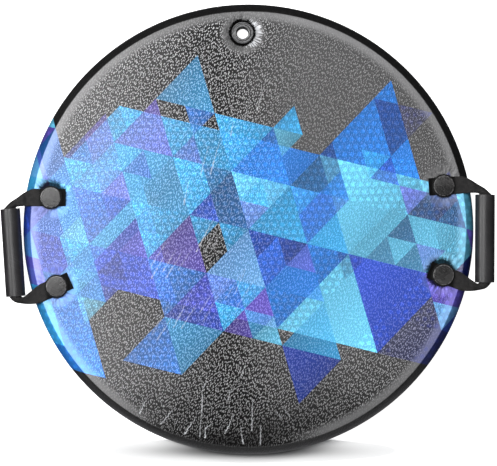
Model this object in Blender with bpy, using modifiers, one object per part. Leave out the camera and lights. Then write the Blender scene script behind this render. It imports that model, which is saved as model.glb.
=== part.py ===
# Saucer sled: a round foam sled with a slick base, a printed top skin, a tow-rope
# grommet and two webbing handles, each with a grip tube that turns on the webbing.
#
# Units are metres. The sled lies flat as it is used: +Z is up, the slick base rests
# on Z = 0, the origin is the middle of the base and +Y points at the grommet.
#
# Each handle is drawn in a frame of its own: u points outwards from the middle of the
# disc, v along the grip towards the grommet, and w up.

import math
from collections import namedtuple

import bmesh
import bpy
from mathutils import Vector

# Driving sizes of the disc
DISC_RADIUS = 0.330
DISC_HEIGHT = 0.038
CROWN_DROP = 0.0003
EDGE_FALL = 0.0045
EDGE_SLOPE = 0.011
ROLL_OFF_WIDTH = 0.037
ROLL_OFF_KNEE = 0.016
SIDE_BULGE_INSET = 0.0006
SIDE_BULGE_RISE = 0.57
SEAM_HEIGHT = 0.0105
BASE_TURN_UP = 0.022
SKIN_THICKNESS = 0.0012
BASE_THICKNESS = 0.0012
GAP = 0.0003

# Rivets that hold the webbing
RIVET_INSET = 0.0386
CAP_RADIUS = 0.015
CAP_HEIGHT = 0.0035
CAP_EDGE = 0.0009
CAP_DOME = 0.0003
CAP_ROOF = 0.0012
WASHER_RADIUS = 0.017
WASHER_THICKNESS = 0.001
POST_RADIUS = 0.004
HEAD_RADIUS = 0.015
HEAD_THICKNESS = 0.002
HEAD_RECESS = 0.0005

# Where the rivets and the grommet pull the skin in, and the base's pockets
SEAT_BITE = 0.0004
DIMPLE_FLANK_RUN = 0.0075
STRAP_SEAT_MARGIN = 0.0008
POCKET_MARGIN = 0.001
POCKET_FLARE = 0.002

# Grommet for the tow rope
GROMMET_INSET = 0.0437
BORE_RADIUS = 0.0085
BARREL_WALL = 0.002
FLANGE_RADIUS = 0.016
FLANGE_THICKNESS = 0.0012
LIP_HEIGHT = 0.0016
LIP_WIDTH = 0.002
ROLLED_END_WIDTH = 0.0015
ROLLED_END_HEIGHT = 0.0006
BACK_RING_THICKNESS = 0.0012
GROMMET_FLANK_RUN = 0.004
GROMMET_SEAT_MARGIN = 0.0015

# Handles
HANDLE_TURN = math.radians(-2.0)
GRIP_LENGTH = 0.128
GRIP_RADIUS = 0.01425
GRIP_BORE_RADIUS = 0.011
GRIP_EDGE = 0.0008
GRIP_TO_RIM = 0.00075
GRIP_AXIS_DROP = 0.0068
GRIP_END_CLEARANCE = 0.00125
RIVET_SPREAD = 0.0015
STRAP_WIDTH = 0.025
STRAP_THICKNESS = 0.0016
TAB_TAIL = 0.0065
HINGE_TO_WASHER = 0.0049
MOUTH_CLEARANCE = 0.0006
CURL_TIGHTNESS = 0.84
BUNCHING = 0.28
CORNER_DIP = 0.004
LEVEL_SHARE = 0.35

# How each strap leaves its rivet and turns into the grip: its lean from the straight
# way out, how far its edges keep that line, and how they leave the grip's mouth, as
# steps in u and v. The inner edge is the one on the grip's side.
UPPER_STRAP = {
    "lean": math.radians(4.0),
    "inner_reach": 0.014,
    "inner_exit": (-0.001, 0.004),
    "outer_reach": 0.016,
    "outer_exit": (-0.016, 0.009),
}
LOWER_STRAP = {
    "lean": math.radians(-20.0),
    "inner_reach": 0.011,
    "inner_exit": (-0.002, -0.006),
    "outer_reach": 0.010,
    "outer_exit": (-0.010, -0.014),
}

# Fineness of the round shapes
DISC_STEPS = 64
ROUND_STEPS = 24
PIN_STEPS = 16
CURVE_STEPS = 3
CAP_EDGE_STEPS = 2
STRAP_COLUMNS = 8
CORNER_STEPS = 11
SHARP_ANGLE = math.radians(40)
NEARLY_FLAT = 0.02
HALVINGS = 40

# Worked out from the sizes above
CREASE_RADIUS = DISC_RADIUS - EDGE_SLOPE
CREASE_HEIGHT = DISC_HEIGHT - EDGE_FALL
CROWN_RADIUS = CREASE_RADIUS - ROLL_OFF_WIDTH
BASE_FLAT_RADIUS = DISC_RADIUS - BASE_TURN_UP
SEAT_HEIGHT = CREASE_HEIGHT - SEAT_BITE
STRAP_BOTTOM = SEAT_HEIGHT + GAP
STRAP_TOP = STRAP_BOTTOM + STRAP_THICKNESS
WASHER_BOTTOM = STRAP_TOP + GAP
WASHER_TOP = WASHER_BOTTOM + WASHER_THICKNESS
CAP_BOTTOM = WASHER_TOP + GAP
CAP_TOP = CAP_BOTTOM + CAP_HEIGHT
HEAD_BOTTOM = HEAD_RECESS
HEAD_TOP = HEAD_BOTTOM + HEAD_THICKNESS
POST_TOP = CAP_TOP - CAP_ROOF - GAP
POST_HOLE_RADIUS = POST_RADIUS + GAP
POCKET_DEPTH = HEAD_TOP + GAP
BARREL_RADIUS = BORE_RADIUS + BARREL_WALL
BARREL_HOLE_RADIUS = BARREL_RADIUS + GAP
RIVET_CIRCLE = DISC_RADIUS - RIVET_INSET
GROMMET_CIRCLE = DISC_RADIUS - GROMMET_INSET
RIVET_V = (GRIP_LENGTH + RIVET_SPREAD) / 2
RIVET_U = math.sqrt(RIVET_CIRCLE**2 - RIVET_V**2)
HINGE_U = RIVET_U + WASHER_RADIUS + HINGE_TO_WASHER
HINGE_REACH = HINGE_U - RIVET_U
GRIP_AXIS_U = DISC_RADIUS + GRIP_TO_RIM + GRIP_RADIUS
CURL_CENTRE = GRIP_BORE_RADIUS - GAP - STRAP_THICKNESS / 2
DIMPLE_RADIUS = math.hypot(WASHER_RADIUS + GAP, STRAP_WIDTH / 2) + GAP
CUT_ABOVE = DISC_HEIGHT + 0.02
CUT_BELOW = -0.02


def start_empty():
    """Remove what the scene holds, and make the part's two collections."""
    for old in list(bpy.data.objects):
        bpy.data.objects.remove(old, do_unlink=True)
    made = []
    for name in ("saucer_sled", "cutters"):
        collection = bpy.data.collections.new(name)
        bpy.context.scene.collection.children.link(collection)
        made.append(collection)
    return made


PARTS, CUTTERS = start_empty()


def finish(name, colour, roughness, metallic=0.0):
    """A plain material with a piece's own colour."""
    material = bpy.data.materials.new(name)
    material.use_nodes = True
    shader = material.node_tree.nodes["Principled BSDF"]
    shader.inputs["Base Color"].default_value = (*colour, 1.0)
    shader.inputs["Roughness"].default_value = roughness
    shader.inputs["Metallic"].default_value = metallic
    return material


def add_piece(name, mesh, material, location=(0, 0, 0), turn=0.0, parent=None):
    """Put a mesh in the part as a named piece."""
    piece = bpy.data.objects.new(name, mesh)
    piece.location = location
    piece.rotation_euler = (0, 0, turn)
    piece.parent = parent
    mesh.materials.append(material)
    PARTS.objects.link(piece)
    return piece


def add_cutter(name, mesh, location=(0, 0, 0), turn=0.0, parent=None):
    """Put a mesh among the shapes that only cut others."""
    cutter = bpy.data.objects.new(name, mesh)
    cutter.location = location
    cutter.rotation_euler = (0, 0, turn)
    cutter.parent = parent
    cutter.hide_render = True
    cutter.display_type = "WIRE"
    CUTTERS.objects.link(cutter)
    return cutter


def add_frame(name, location, turn=0.0, parent=None):
    """An empty that other pieces are placed from."""
    frame = bpy.data.objects.new(name, None)
    frame.location = location
    frame.rotation_euler = (0, 0, turn)
    frame.parent = parent
    frame.empty_display_size = 0.02
    PARTS.objects.link(frame)
    return frame


def cut(piece, cutter):
    """Take a cutter's shape out of a piece."""
    boolean = piece.modifiers.new("cut_" + cutter.name, "BOOLEAN")
    boolean.operation = "DIFFERENCE"
    boolean.solver = "EXACT"
    boolean.object = cutter


def outline_mesh(name, outline, closed=False):
    """A mesh of edges along an outline of (radius, height) points."""
    edges = [(i, i + 1) for i in range(len(outline) - 1)]
    if closed:
        edges.append((len(outline) - 1, 0))
    mesh = bpy.data.meshes.new(name)
    mesh.from_pydata([(radius, 0, height) for radius, height in outline], edges, [])
    return mesh


def turn_outline(thing, steps):
    """Turn an object's outline once round its own Z axis."""
    screw = thing.modifiers.new("turned", "SCREW")
    screw.steps = steps
    screw.render_steps = steps
    screw.use_merge_vertices = True
    screw.merge_threshold = 0.00001
    screw.use_smooth_shade = True


def turned_piece(name, outline, material, steps, closed=False, **place):
    """A piece turned from an outline that runs down its outer side."""
    piece = add_piece(name, outline_mesh(name, outline, closed), material, **place)
    turn_outline(piece, steps)
    return piece


def turned_cutter(name, outline, steps, **place):
    """A cutter turned from an outline that runs down its outer side."""
    cutter = add_cutter(name, outline_mesh(name, outline), **place)
    turn_outline(cutter, steps)
    return cutter


def bend(start, control, end, steps):
    """Points of a curve with one control point, both ends included."""
    points = []
    for step in range(steps + 1):
        t = step / steps
        points.append(
            tuple(
                (1 - t) ** 2 * a + 2 * t * (1 - t) * b + t**2 * c
                for a, b, c in zip(start, control, end)
            )
        )
    return points


def inset(outline, depth):
    """The same outline moved in by a depth, on the side that holds the foam."""
    sides = []
    for (r0, z0), (r1, z1) in zip(outline, outline[1:]):
        length = math.hypot(r1 - r0, z1 - z0)
        sides.append(((z1 - z0) / length, -(r1 - r0) / length))
    moved = []
    for index, (radius, height) in enumerate(outline):
        before = sides[max(index - 1, 0)]
        after = sides[min(index, len(sides) - 1)]
        middle = (before[0] + after[0], before[1] + after[1])
        size = middle[0] ** 2 + middle[1] ** 2
        moved.append(
            (
                radius + depth * 2 * middle[0] / size,
                height + depth * 2 * middle[1] / size,
            )
        )
    moved[0] = (0.0, moved[0][1])
    moved[-1] = (outline[-1][0] - depth, outline[-1][1])
    return moved


def top_outline():
    """The skin's outer line, from the middle of the top over the crease to the seam."""
    crown_height = DISC_HEIGHT - CROWN_DROP
    crown = (CROWN_RADIUS, crown_height)
    knee = (CREASE_RADIUS - ROLL_OFF_KNEE, crown_height - CROWN_DROP)
    crease = (CREASE_RADIUS, CREASE_HEIGHT)
    bulge_height = SEAM_HEIGHT + SIDE_BULGE_RISE * (CREASE_HEIGHT - SEAM_HEIGHT)
    bulge = (DISC_RADIUS - SIDE_BULGE_INSET, bulge_height)
    seam = (DISC_RADIUS, SEAM_HEIGHT)
    middle = [(0.0, DISC_HEIGHT), (CROWN_RADIUS / 2, DISC_HEIGHT - CROWN_DROP / 4)]
    roll_off = bend(crown, knee, crease, CURVE_STEPS)
    side = bend(crease, bulge, seam, CURVE_STEPS)
    return middle + roll_off + side[1:]


def base_outline():
    """The base's outer line, from the seam down the turned-up edge to the middle."""
    rim_height = SEAM_HEIGHT - GAP
    points = []
    for step in range(CURVE_STEPS + 1):
        angle = math.pi / 2 * step / CURVE_STEPS
        points.append(
            (
                BASE_FLAT_RADIUS + BASE_TURN_UP * math.cos(angle),
                rim_height * (1 - math.sin(angle)),
            )
        )
    return points + [(0.0, 0.0)]


def height_of_top(radius):
    """How high the skin lies at a distance from the middle."""
    outline = top_outline()
    for (r0, z0), (r1, z1) in zip(outline, outline[1:]):
        if r0 <= radius <= r1:
            return z0 + (z1 - z0) * (radius - r0) / (r1 - r0)
    return CREASE_HEIGHT


DIMPLE_SLOPE = (height_of_top(RIVET_CIRCLE) - SEAT_HEIGHT) / DIMPLE_FLANK_RUN
GROMMET_SLOPE = (height_of_top(GROMMET_CIRCLE) - SEAT_HEIGHT) / GROMMET_FLANK_RUN


def make_handle_frames():
    """One frame for each handle, turned so that u points outwards."""
    right = add_frame("right_handle_frame", (0, 0, 0), HANDLE_TURN)
    left = add_frame("left_handle_frame", (0, 0, 0), math.pi - HANDLE_TURN)
    return {"right": (right, 1), "left": (left, -1)}


FRAMES = make_handle_frames()
STRAPS = {"upper": (UPPER_STRAP, 1), "lower": (LOWER_STRAP, -1)}
Rivet = namedtuple("Rivet", "name frame middle lean sign")
PulledPlace = namedtuple("PulledPlace", "name frame middle dimple slope hole head")


def rivets():
    """The four rivets, each with its place in a handle's frame and its strap's lean."""
    found = []
    for side, (frame, sign) in FRAMES.items():
        for level, (strap, end) in STRAPS.items():
            middle = Vector((RIVET_U, sign * end * RIVET_V, 0))
            lean = sign * strap["lean"]
            found.append(Rivet(f"{side}_{level}", frame, middle, lean, sign))
    return found


def pulled_places():
    """Where the skin and the base are pulled in, with the radii of the dimple's floor,
    of the hole and of what sits in the pocket below, and the slope of the flank."""
    found = []
    for rivet in rivets():
        sizes = (DIMPLE_RADIUS, DIMPLE_SLOPE, POST_HOLE_RADIUS, HEAD_RADIUS)
        found.append(PulledPlace(rivet.name, rivet.frame, rivet.middle, *sizes))
    middle = Vector((0, GROMMET_CIRCLE, 0))
    floor = FLANGE_RADIUS + GROMMET_SEAT_MARGIN
    sizes = (floor, GROMMET_SLOPE, BARREL_HOLE_RADIUS, FLANGE_RADIUS)
    found.append(PulledPlace("grommet", None, middle, *sizes))
    return found


def dimple_outline(floor_radius, slope, hole_radius):
    """A bowl over the skin with a sloping flank, and a hole down from its floor."""
    rise = CUT_ABOVE - SEAT_HEIGHT
    return [
        (0, CUT_ABOVE),
        (floor_radius + rise / slope, CUT_ABOVE),
        (floor_radius, SEAT_HEIGHT),
        (hole_radius, SEAT_HEIGHT),
        (hole_radius, CUT_BELOW),
        (0, CUT_BELOW),
    ]


def pocket_outline(floor_radius, hole_radius, top):
    """A pocket up into the base, and a hole up from its roof."""
    foot = floor_radius + POCKET_FLARE * (top - CUT_BELOW) / POCKET_DEPTH
    return [
        (0, CUT_ABOVE),
        (hole_radius, CUT_ABOVE),
        (hole_radius, top),
        (floor_radius, top),
        (foot, CUT_BELOW),
        (0, CUT_BELOW),
    ]


def boss_outline(floor_radius):
    """The raised place that stays of the base sheet round a pocket."""
    top = POCKET_DEPTH + BASE_THICKNESS
    radius = floor_radius + BASE_THICKNESS
    foot = radius + POCKET_FLARE * (top - CUT_BELOW) / POCKET_DEPTH
    return [(0, top), (radius, top), (foot, CUT_BELOW), (0, CUT_BELOW)]


def strap_seat_mesh(name):
    """The bed that a strap presses into the foam, from its rivet out past the rim."""
    half = STRAP_WIDTH / 2 + STRAP_SEAT_MARGIN
    rise = CUT_ABOVE - SEAT_HEIGHT
    section = [
        (-half - rise, CUT_ABOVE),
        (-half, SEAT_HEIGHT),
        (half, SEAT_HEIGHT),
        (half + rise, CUT_ABOVE),
    ]
    length = 2 * (DISC_RADIUS - RIVET_U)
    shape = bmesh.new()
    rings = []
    for reach in (0.0, length):
        rings.append([shape.verts.new((reach, y, z)) for y, z in section])
    shape.faces.new(rings[0])
    shape.faces.new(rings[1])
    for index in range(len(section)):
        other = (index + 1) % len(section)
        shape.faces.new(
            (rings[0][index], rings[0][other], rings[1][other], rings[1][index])
        )
    bmesh.ops.recalc_face_normals(shape, faces=shape.faces)
    mesh = bpy.data.meshes.new(name)
    shape.to_mesh(mesh)
    shape.free()
    return mesh


def make_seats(kind, depth):
    """The dimples with their holes, and the straps' beds, moved down by a depth."""
    seats = []
    lower = Vector((0, 0, -depth))
    for spot in pulled_places():
        seat = turned_cutter(
            f"{kind}_dimple_{spot.name}",
            dimple_outline(spot.dimple, spot.slope, spot.hole),
            ROUND_STEPS,
            location=spot.middle + lower,
            parent=spot.frame,
        )
        seats.append(seat)
    for rivet in rivets():
        name = f"{kind}_bed_{rivet.name}"
        seat = add_cutter(
            name,
            strap_seat_mesh(name),
            location=rivet.middle + lower,
            turn=rivet.lean,
            parent=rivet.frame,
        )
        seats.append(seat)
    return seats


def make_pockets(kind, growth):
    """The pockets with their holes, grown upwards and outwards by a thickness."""
    pockets = []
    for spot in pulled_places():
        radius = spot.head + POCKET_MARGIN + growth
        pocket = turned_cutter(
            f"{kind}_pocket_{spot.name}",
            pocket_outline(radius, spot.hole, POCKET_DEPTH + growth),
            ROUND_STEPS,
            location=spot.middle,
            parent=spot.frame,
        )
        pockets.append(pocket)
    return pockets


def make_top_skin():
    """The printed skin over the top and down the side to the seam."""
    outline = top_outline()
    material = finish("printed_skin", (0.10, 0.33, 0.72), 0.5)
    body = outline + [(0.0, SEAM_HEIGHT)]
    skin = turned_piece("top_skin", body, material, DISC_STEPS)
    for seat in make_seats("skin", 0.0):
        cut(skin, seat)
    inner = inset(outline, SKIN_THICKNESS)
    foot = [(inner[-1][0], CUT_BELOW), (0.0, CUT_BELOW)]
    filling = turned_cutter("skin_filling", inner + foot, DISC_STEPS)
    for seat in make_seats("filling", SKIN_THICKNESS):
        cut(filling, seat)
    cut(skin, filling)
    return skin


def make_slick_base():
    """The slippery sheet below, turned up at the rim, with pockets for the heads."""
    outer = base_outline()
    roof = (0.0, outer[0][1])
    material = finish("slick_sheet", (0.02, 0.02, 0.022), 0.28)
    base = turned_piece("slick_base", [roof] + outer, material, DISC_STEPS)
    for pocket in make_pockets("base", 0.0):
        cut(base, pocket)
    inner = inset_base(outer, BASE_THICKNESS)
    head = [(0.0, CUT_ABOVE), (inner[0][0], CUT_ABOVE)]
    filling = turned_cutter("base_filling", head + inner, DISC_STEPS)
    for spot in pulled_places():
        boss = turned_cutter(
            f"boss_{spot.name}",
            boss_outline(spot.head + POCKET_MARGIN),
            ROUND_STEPS,
            location=spot.middle,
            parent=spot.frame,
        )
        cut(filling, boss)
    cut(base, filling)
    return base


def inset_base(outline, depth):
    """The base's line moved up and in by a depth, from the seam to the middle."""
    mirrored = [(radius, -height) for radius, height in outline[::-1]]
    moved = inset(mirrored, depth)
    return [(radius, -height) for radius, height in moved[::-1]]


def make_foam_core():
    """The foam between skin and base."""
    above = inset(top_outline(), SKIN_THICKNESS + GAP)
    below = inset_base(base_outline(), BASE_THICKNESS + GAP)
    material = finish("white_foam", (0.75, 0.75, 0.73), 0.9)
    core = turned_piece("foam_core", above + below, material, DISC_STEPS)
    for seat in make_seats("core", SKIN_THICKNESS + GAP):
        cut(core, seat)
    for pocket in make_pockets("core", BASE_THICKNESS + GAP):
        cut(core, pocket)
    return core


def make_rivet(rivet):
    """One rivet: a stud from below, a washer on the webbing and a round cap."""
    spot = {"location": rivet.middle, "parent": rivet.frame}
    stud = [
        (0, POST_TOP),
        (POST_RADIUS, POST_TOP),
        (POST_RADIUS, HEAD_TOP),
        (HEAD_RADIUS, HEAD_TOP),
        (HEAD_RADIUS, HEAD_BOTTOM + HEAD_THICKNESS / 2),
        (HEAD_RADIUS - HEAD_THICKNESS / 2, HEAD_BOTTOM),
        (0, HEAD_BOTTOM),
    ]
    plastic = finish(f"{rivet.name}_stud_plastic", (0.035, 0.035, 0.038), 0.4)
    turned_piece(f"{rivet.name}_rivet_stud", stud, plastic, PIN_STEPS, **spot)
    washer = [
        (POST_HOLE_RADIUS, WASHER_TOP),
        (WASHER_RADIUS, WASHER_TOP),
        (WASHER_RADIUS, WASHER_BOTTOM),
        (POST_HOLE_RADIUS, WASHER_BOTTOM),
    ]
    rubber = finish(f"{rivet.name}_washer_rubber", (0.012, 0.012, 0.013), 0.7)
    name = f"{rivet.name}_strap_washer"
    turned_piece(name, washer, rubber, ROUND_STEPS, closed=True, **spot)
    edge_height = CAP_TOP - CAP_DOME
    shoulder = bend(
        (CAP_RADIUS - CAP_EDGE, edge_height),
        (CAP_RADIUS, edge_height),
        (CAP_RADIUS, edge_height - CAP_EDGE),
        CAP_EDGE_STEPS,
    )
    cap = [
        (0, CAP_TOP),
        *shoulder,
        (CAP_RADIUS, CAP_BOTTOM),
        (POST_HOLE_RADIUS, CAP_BOTTOM),
        (POST_HOLE_RADIUS, CAP_TOP - CAP_ROOF),
        (0, CAP_TOP - CAP_ROOF),
    ]
    plastic = finish(f"{rivet.name}_cap_plastic", (0.07, 0.07, 0.075), 0.45)
    turned_piece(f"{rivet.name}_rivet_cap", cap, plastic, ROUND_STEPS, **spot)


def make_grommet():
    """The tow-rope grommet: a flanged barrel and the ring that it is rolled over."""
    flange_bottom = SEAT_HEIGHT + GAP
    flange_top = flange_bottom + FLANGE_THICKNESS
    lip_top = flange_top + LIP_HEIGHT
    inner_lip = BARREL_RADIUS + LIP_WIDTH / 2
    rolled_end = BARREL_RADIUS + ROLLED_END_WIDTH
    end_top = HEAD_RECESS + ROLLED_END_HEIGHT
    outline = [
        (BORE_RADIUS, flange_top),
        (BORE_RADIUS + LIP_WIDTH / 2, lip_top),
        (inner_lip, lip_top),
        (inner_lip + LIP_WIDTH / 2, flange_top),
        (FLANGE_RADIUS - LIP_WIDTH, flange_top),
        (FLANGE_RADIUS - LIP_WIDTH / 2, lip_top),
        (FLANGE_RADIUS, flange_top),
        (FLANGE_RADIUS, flange_bottom),
        (BARREL_RADIUS, flange_bottom),
        (BARREL_RADIUS, end_top),
        (rolled_end, end_top),
        (rolled_end, HEAD_RECESS),
        (BORE_RADIUS, HEAD_RECESS),
    ]
    place = (0, GROMMET_CIRCLE, 0)
    turned_piece(
        "grommet_front",
        outline,
        finish("grommet_plastic", (0.03, 0.03, 0.032), 0.35),
        ROUND_STEPS,
        closed=True,
        location=place,
    )
    ring_bottom = end_top + GAP
    ring_top = ring_bottom + BACK_RING_THICKNESS
    ring = [
        (BARREL_HOLE_RADIUS, ring_top),
        (FLANGE_RADIUS, ring_top),
        (FLANGE_RADIUS, ring_bottom),
        (BARREL_HOLE_RADIUS, ring_bottom),
    ]
    turned_piece(
        "grommet_back_ring",
        ring,
        finish("ring_plastic", (0.03, 0.03, 0.032), 0.4),
        ROUND_STEPS,
        closed=True,
        location=place,
    )


def loft(name, rings, sign):
    """A closed mesh through rings of equal counts, flat at both ends."""
    shape = bmesh.new()
    loops = []
    for ring in rings:
        loops.append([shape.verts.new((p.x, sign * p.y, p.z)) for p in ring])
    count = len(rings[0])
    for first, second in zip(loops, loops[1:]):
        for index in range(count):
            other = (index + 1) % count
            shape.faces.new((first[index], first[other], second[other], second[index]))
    half = count // 2
    for loop in (loops[0], loops[-1]):
        for index in range(half - 1):
            far = count - 1 - index
            shape.faces.new((loop[index], loop[index + 1], loop[far - 1], loop[far]))
    bmesh.ops.recalc_face_normals(shape, faces=shape.faces)
    for face in shape.faces:
        face.smooth = True
    mesh = bpy.data.meshes.new(name)
    shape.to_mesh(mesh)
    shape.free()
    mesh.set_sharp_from_angle(angle=SHARP_ANGLE)
    return mesh


def flat_ring(inner, outer, height, thickness_way):
    """A strap's flat section between two edge points, with its thickness."""
    lift = thickness_way * (STRAP_THICKNESS / 2)
    edges = [Vector((*inner, height)), Vector((*outer, height))]
    return [edges[0] + lift, edges[1] + lift, edges[1] - lift, edges[0] - lift]


def make_tab(rivet):
    """The riveted end of a strap, square at its tail and cut along the fold line."""
    flank_angle = math.atan(DIMPLE_SLOPE)
    half = STRAP_WIDTH / 2
    flat_from = -(WASHER_RADIUS + GAP)
    tail = -(CAP_RADIUS + TAB_TAIL)
    middle_height = (STRAP_BOTTOM + STRAP_TOP) / 2
    tail_height = middle_height + (flat_from - tail) * DIMPLE_SLOPE
    up = Vector((0, 0, 1))
    climb = Vector((math.sin(flank_angle), 0, math.cos(flank_angle)))
    knee = (up + climb).normalized() / math.cos(flank_angle / 2)
    own_lean = rivet.sign * rivet.lean
    ends = []
    for edge in (-half, half):
        reach = HINGE_REACH - GAP + edge * math.sin(own_lean)
        ends.append((reach / math.cos(own_lean), edge))
    rings = [
        flat_ring((tail, -half), (tail, half), tail_height, climb),
        flat_ring((flat_from, -half), (flat_from, half), middle_height, knee),
        flat_ring(ends[0], ends[1], middle_height, up),
    ]
    tab = add_piece(
        f"{rivet.name}_strap_tab",
        loft(f"{rivet.name}_strap_tab", rings, rivet.sign),
        finish(f"{rivet.name}_tab_webbing", (0.022, 0.022, 0.024), 0.8),
        location=rivet.middle,
        turn=rivet.lean,
        parent=rivet.frame,
    )
    post_hole = [(0, CUT_ABOVE), (POST_HOLE_RADIUS, CUT_ABOVE), (POST_HOLE_RADIUS, 0), (0, 0)]
    hole = turned_cutter(
        f"tab_hole_{rivet.name}",
        post_hole,
        PIN_STEPS,
        location=rivet.middle,
        parent=rivet.frame,
    )
    cut(tab, hole)
    return tab


def arc_angle(chord, length):
    """How far round an arc of a given length bends to span a given chord."""
    if chord >= length:
        return 0.0
    low = 0.0
    high = 2 * math.pi
    for _ in range(HALVINGS):
        middle = (low + high) / 2
        if 2 * math.sin(middle / 2) / middle * length > chord:
            low = middle
        else:
            high = middle
    return (low + high) / 2


def edge_curve(start, reach, end, leave, t):
    """A point on a strap's edge between the fold line and the grip's mouth."""
    second = start + reach
    third = end + leave
    return (
        (1 - t) ** 3 * start
        + 3 * t * (1 - t) ** 2 * second
        + 3 * t**2 * (1 - t) * third
        + t**3 * end
    )


def curled_ring(inner, outer, along, length):
    """A strap's section that bulges up between its two edges."""
    across = outer - inner
    chord = across.length
    across.normalize()
    up = across.cross(along).normalized()
    if up.z < 0:
        up.negate()
    angle = arc_angle(chord, length)
    centre = (inner + outer) / 2
    faces = ([], [])
    for column in range(STRAP_COLUMNS + 1):
        share = column / STRAP_COLUMNS - 0.5
        if angle < NEARLY_FLAT:
            middle = centre + across * chord * share
            outwards = up
        else:
            radius = chord / 2 / math.sin(angle / 2)
            turned = share * angle
            rise = radius * (math.cos(turned) - math.cos(angle / 2))
            middle = centre + across * radius * math.sin(turned) + up * rise
            outwards = up * math.cos(turned) + across * math.sin(turned)
        faces[0].append(middle + outwards * (STRAP_THICKNESS / 2))
        faces[1].append(middle - outwards * (STRAP_THICKNESS / 2))
    return faces[0] + faces[1][::-1]


def mouth_edges(end):
    """The strap's two edges where it enters the grip, at its upper or lower end."""
    radius = CURL_TIGHTNESS * CURL_CENTRE
    angle = STRAP_WIDTH / radius
    half = radius * math.sin(angle / 2)
    height = CURL_CENTRE - radius * (1 - math.cos(angle / 2)) - GRIP_AXIS_DROP
    axis = GRIP_AXIS_U - HINGE_U
    v = grip_end(end) + end * MOUTH_CLEARANCE
    return Vector((axis - half, v, height)), Vector((axis + half, v, height))


def strap_edges_at_fold(strap, end):
    """Where a strap's two edges cross the fold line, the grip's side first."""
    lean = strap["lean"]
    middle = end * RIVET_V + HINGE_REACH * math.tan(lean)
    half = STRAP_WIDTH / 2 / math.cos(lean)
    return middle - end * half, middle + end * half


def grip_end(end):
    """How far along v the grip's upper or lower end lies."""
    inner_edge, _ = strap_edges_at_fold(UPPER_STRAP, 1)
    top = inner_edge - GRIP_END_CLEARANCE
    return top if end > 0 else top - GRIP_LENGTH


def corner_edges(strap, end):
    """The two edges of a strap in steps from the fold line to the grip's mouth."""
    middle_height = -STRAP_THICKNESS / 2
    way = Vector((math.cos(strap["lean"]), math.sin(strap["lean"]), 0))
    inner_v, outer_v = strap_edges_at_fold(strap, end)
    inner_start = Vector((0, inner_v, middle_height))
    outer_start = Vector((0, outer_v, middle_height))
    inner_end, outer_end = mouth_edges(end)
    inner_leave = Vector((*strap["inner_exit"], 0))
    outer_leave = Vector((*strap["outer_exit"], 0))
    edges = []
    for step in range(CORNER_STEPS + 1):
        t = step / CORNER_STEPS
        inner = edge_curve(
            inner_start, way * strap["inner_reach"], inner_end, inner_leave, t
        )
        outer = edge_curve(
            outer_start, way * strap["outer_reach"], outer_end, outer_leave, t
        )
        late = max(0.0, (t - LEVEL_SHARE) / (1 - LEVEL_SHARE))
        ease = late * late * (3 - 2 * late)
        height = middle_height + (inner_end.z - middle_height) * ease
        inner.z = height
        outer.z = height - CORNER_DIP * math.sin(math.pi * late) ** 2
        spare = 1 - BUNCHING * math.sin(math.pi * t) ** 2
        start_length = STRAP_WIDTH / math.cos(strap["lean"])
        length = (start_length + (STRAP_WIDTH - start_length) * t) * spare
        edges.append((inner, outer, length))
    return edges


def make_strap_loop(side, hinge, sign):
    """The part of the webbing that folds up: rim to grip, through it and back."""
    upper = corner_edges(UPPER_STRAP, 1)
    lower = corner_edges(LOWER_STRAP, -1)
    edges = upper + lower[::-1]
    middles = [(inner + outer) / 2 for inner, outer, _ in edges]
    rings = []
    last = len(edges) - 1
    for index, (inner, outer, length) in enumerate(edges):
        along = middles[min(index + 1, last)] - middles[max(index - 1, 0)]
        if index in (CORNER_STEPS, CORNER_STEPS + 1):
            along = Vector((0, -1, 0))
        if index in (0, last):
            along = Vector((1, 0, 0))
        rings.append(curled_ring(inner, outer, along, length))
    return add_piece(
        f"{side}_strap_loop",
        loft(f"{side}_strap_loop", rings, sign),
        finish(f"{side}_loop_webbing", (0.022, 0.022, 0.024), 0.8),
        parent=hinge,
    )


def make_grip(side, hinge, sign):
    """The grip tube, turned round its own axis and laid along v."""
    half = GRIP_LENGTH / 2
    rounded = GRIP_RADIUS - GRIP_EDGE
    outline = [
        (GRIP_BORE_RADIUS, half),
        (rounded, half),
        (GRIP_RADIUS, half - GRIP_EDGE),
        (GRIP_RADIUS, -half + GRIP_EDGE),
        (rounded, -half),
        (GRIP_BORE_RADIUS, -half),
    ]
    middle = (grip_end(1) + grip_end(-1)) / 2
    grip = turned_piece(
        f"{side}_grip",
        outline,
        finish(f"{side}_grip_plastic", (0.06, 0.058, 0.06), 0.5),
        ROUND_STEPS,
        closed=True,
        location=(GRIP_AXIS_U - HINGE_U, sign * middle, -GRIP_AXIS_DROP),
        parent=hinge,
    )
    grip.rotation_euler = (math.pi / 2, 0, 0)
    return grip


def make_handles():
    """Both handles: four riveted tabs, two loops of webbing and two grips."""
    for rivet in rivets():
        make_rivet(rivet)
        make_tab(rivet)
    for side, (frame, sign) in FRAMES.items():
        hinge = add_frame(f"{side}_handle_hinge", (HINGE_U, 0, STRAP_TOP), 0, frame)
        make_strap_loop(side, hinge, sign)
        make_grip(side, hinge, sign)


make_slick_base()
make_foam_core()
make_top_skin()
make_grommet()
make_handles()
bpy.context.view_layer.update()
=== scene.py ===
# %% [markdown]
# # A saucer sled
# A round foam sled lies on the ground: a slick base, a foam core, a printed film skin, a
# grommet for the tow rope, and on each side a webbing handle with a grip tube. The solids
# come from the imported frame, with their joints. Here each of them gets the look of the
# real material, and the thin or soft ones a finer shape in the same place.

# %% Load the frame
import math
import random
from functools import reduce

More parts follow.
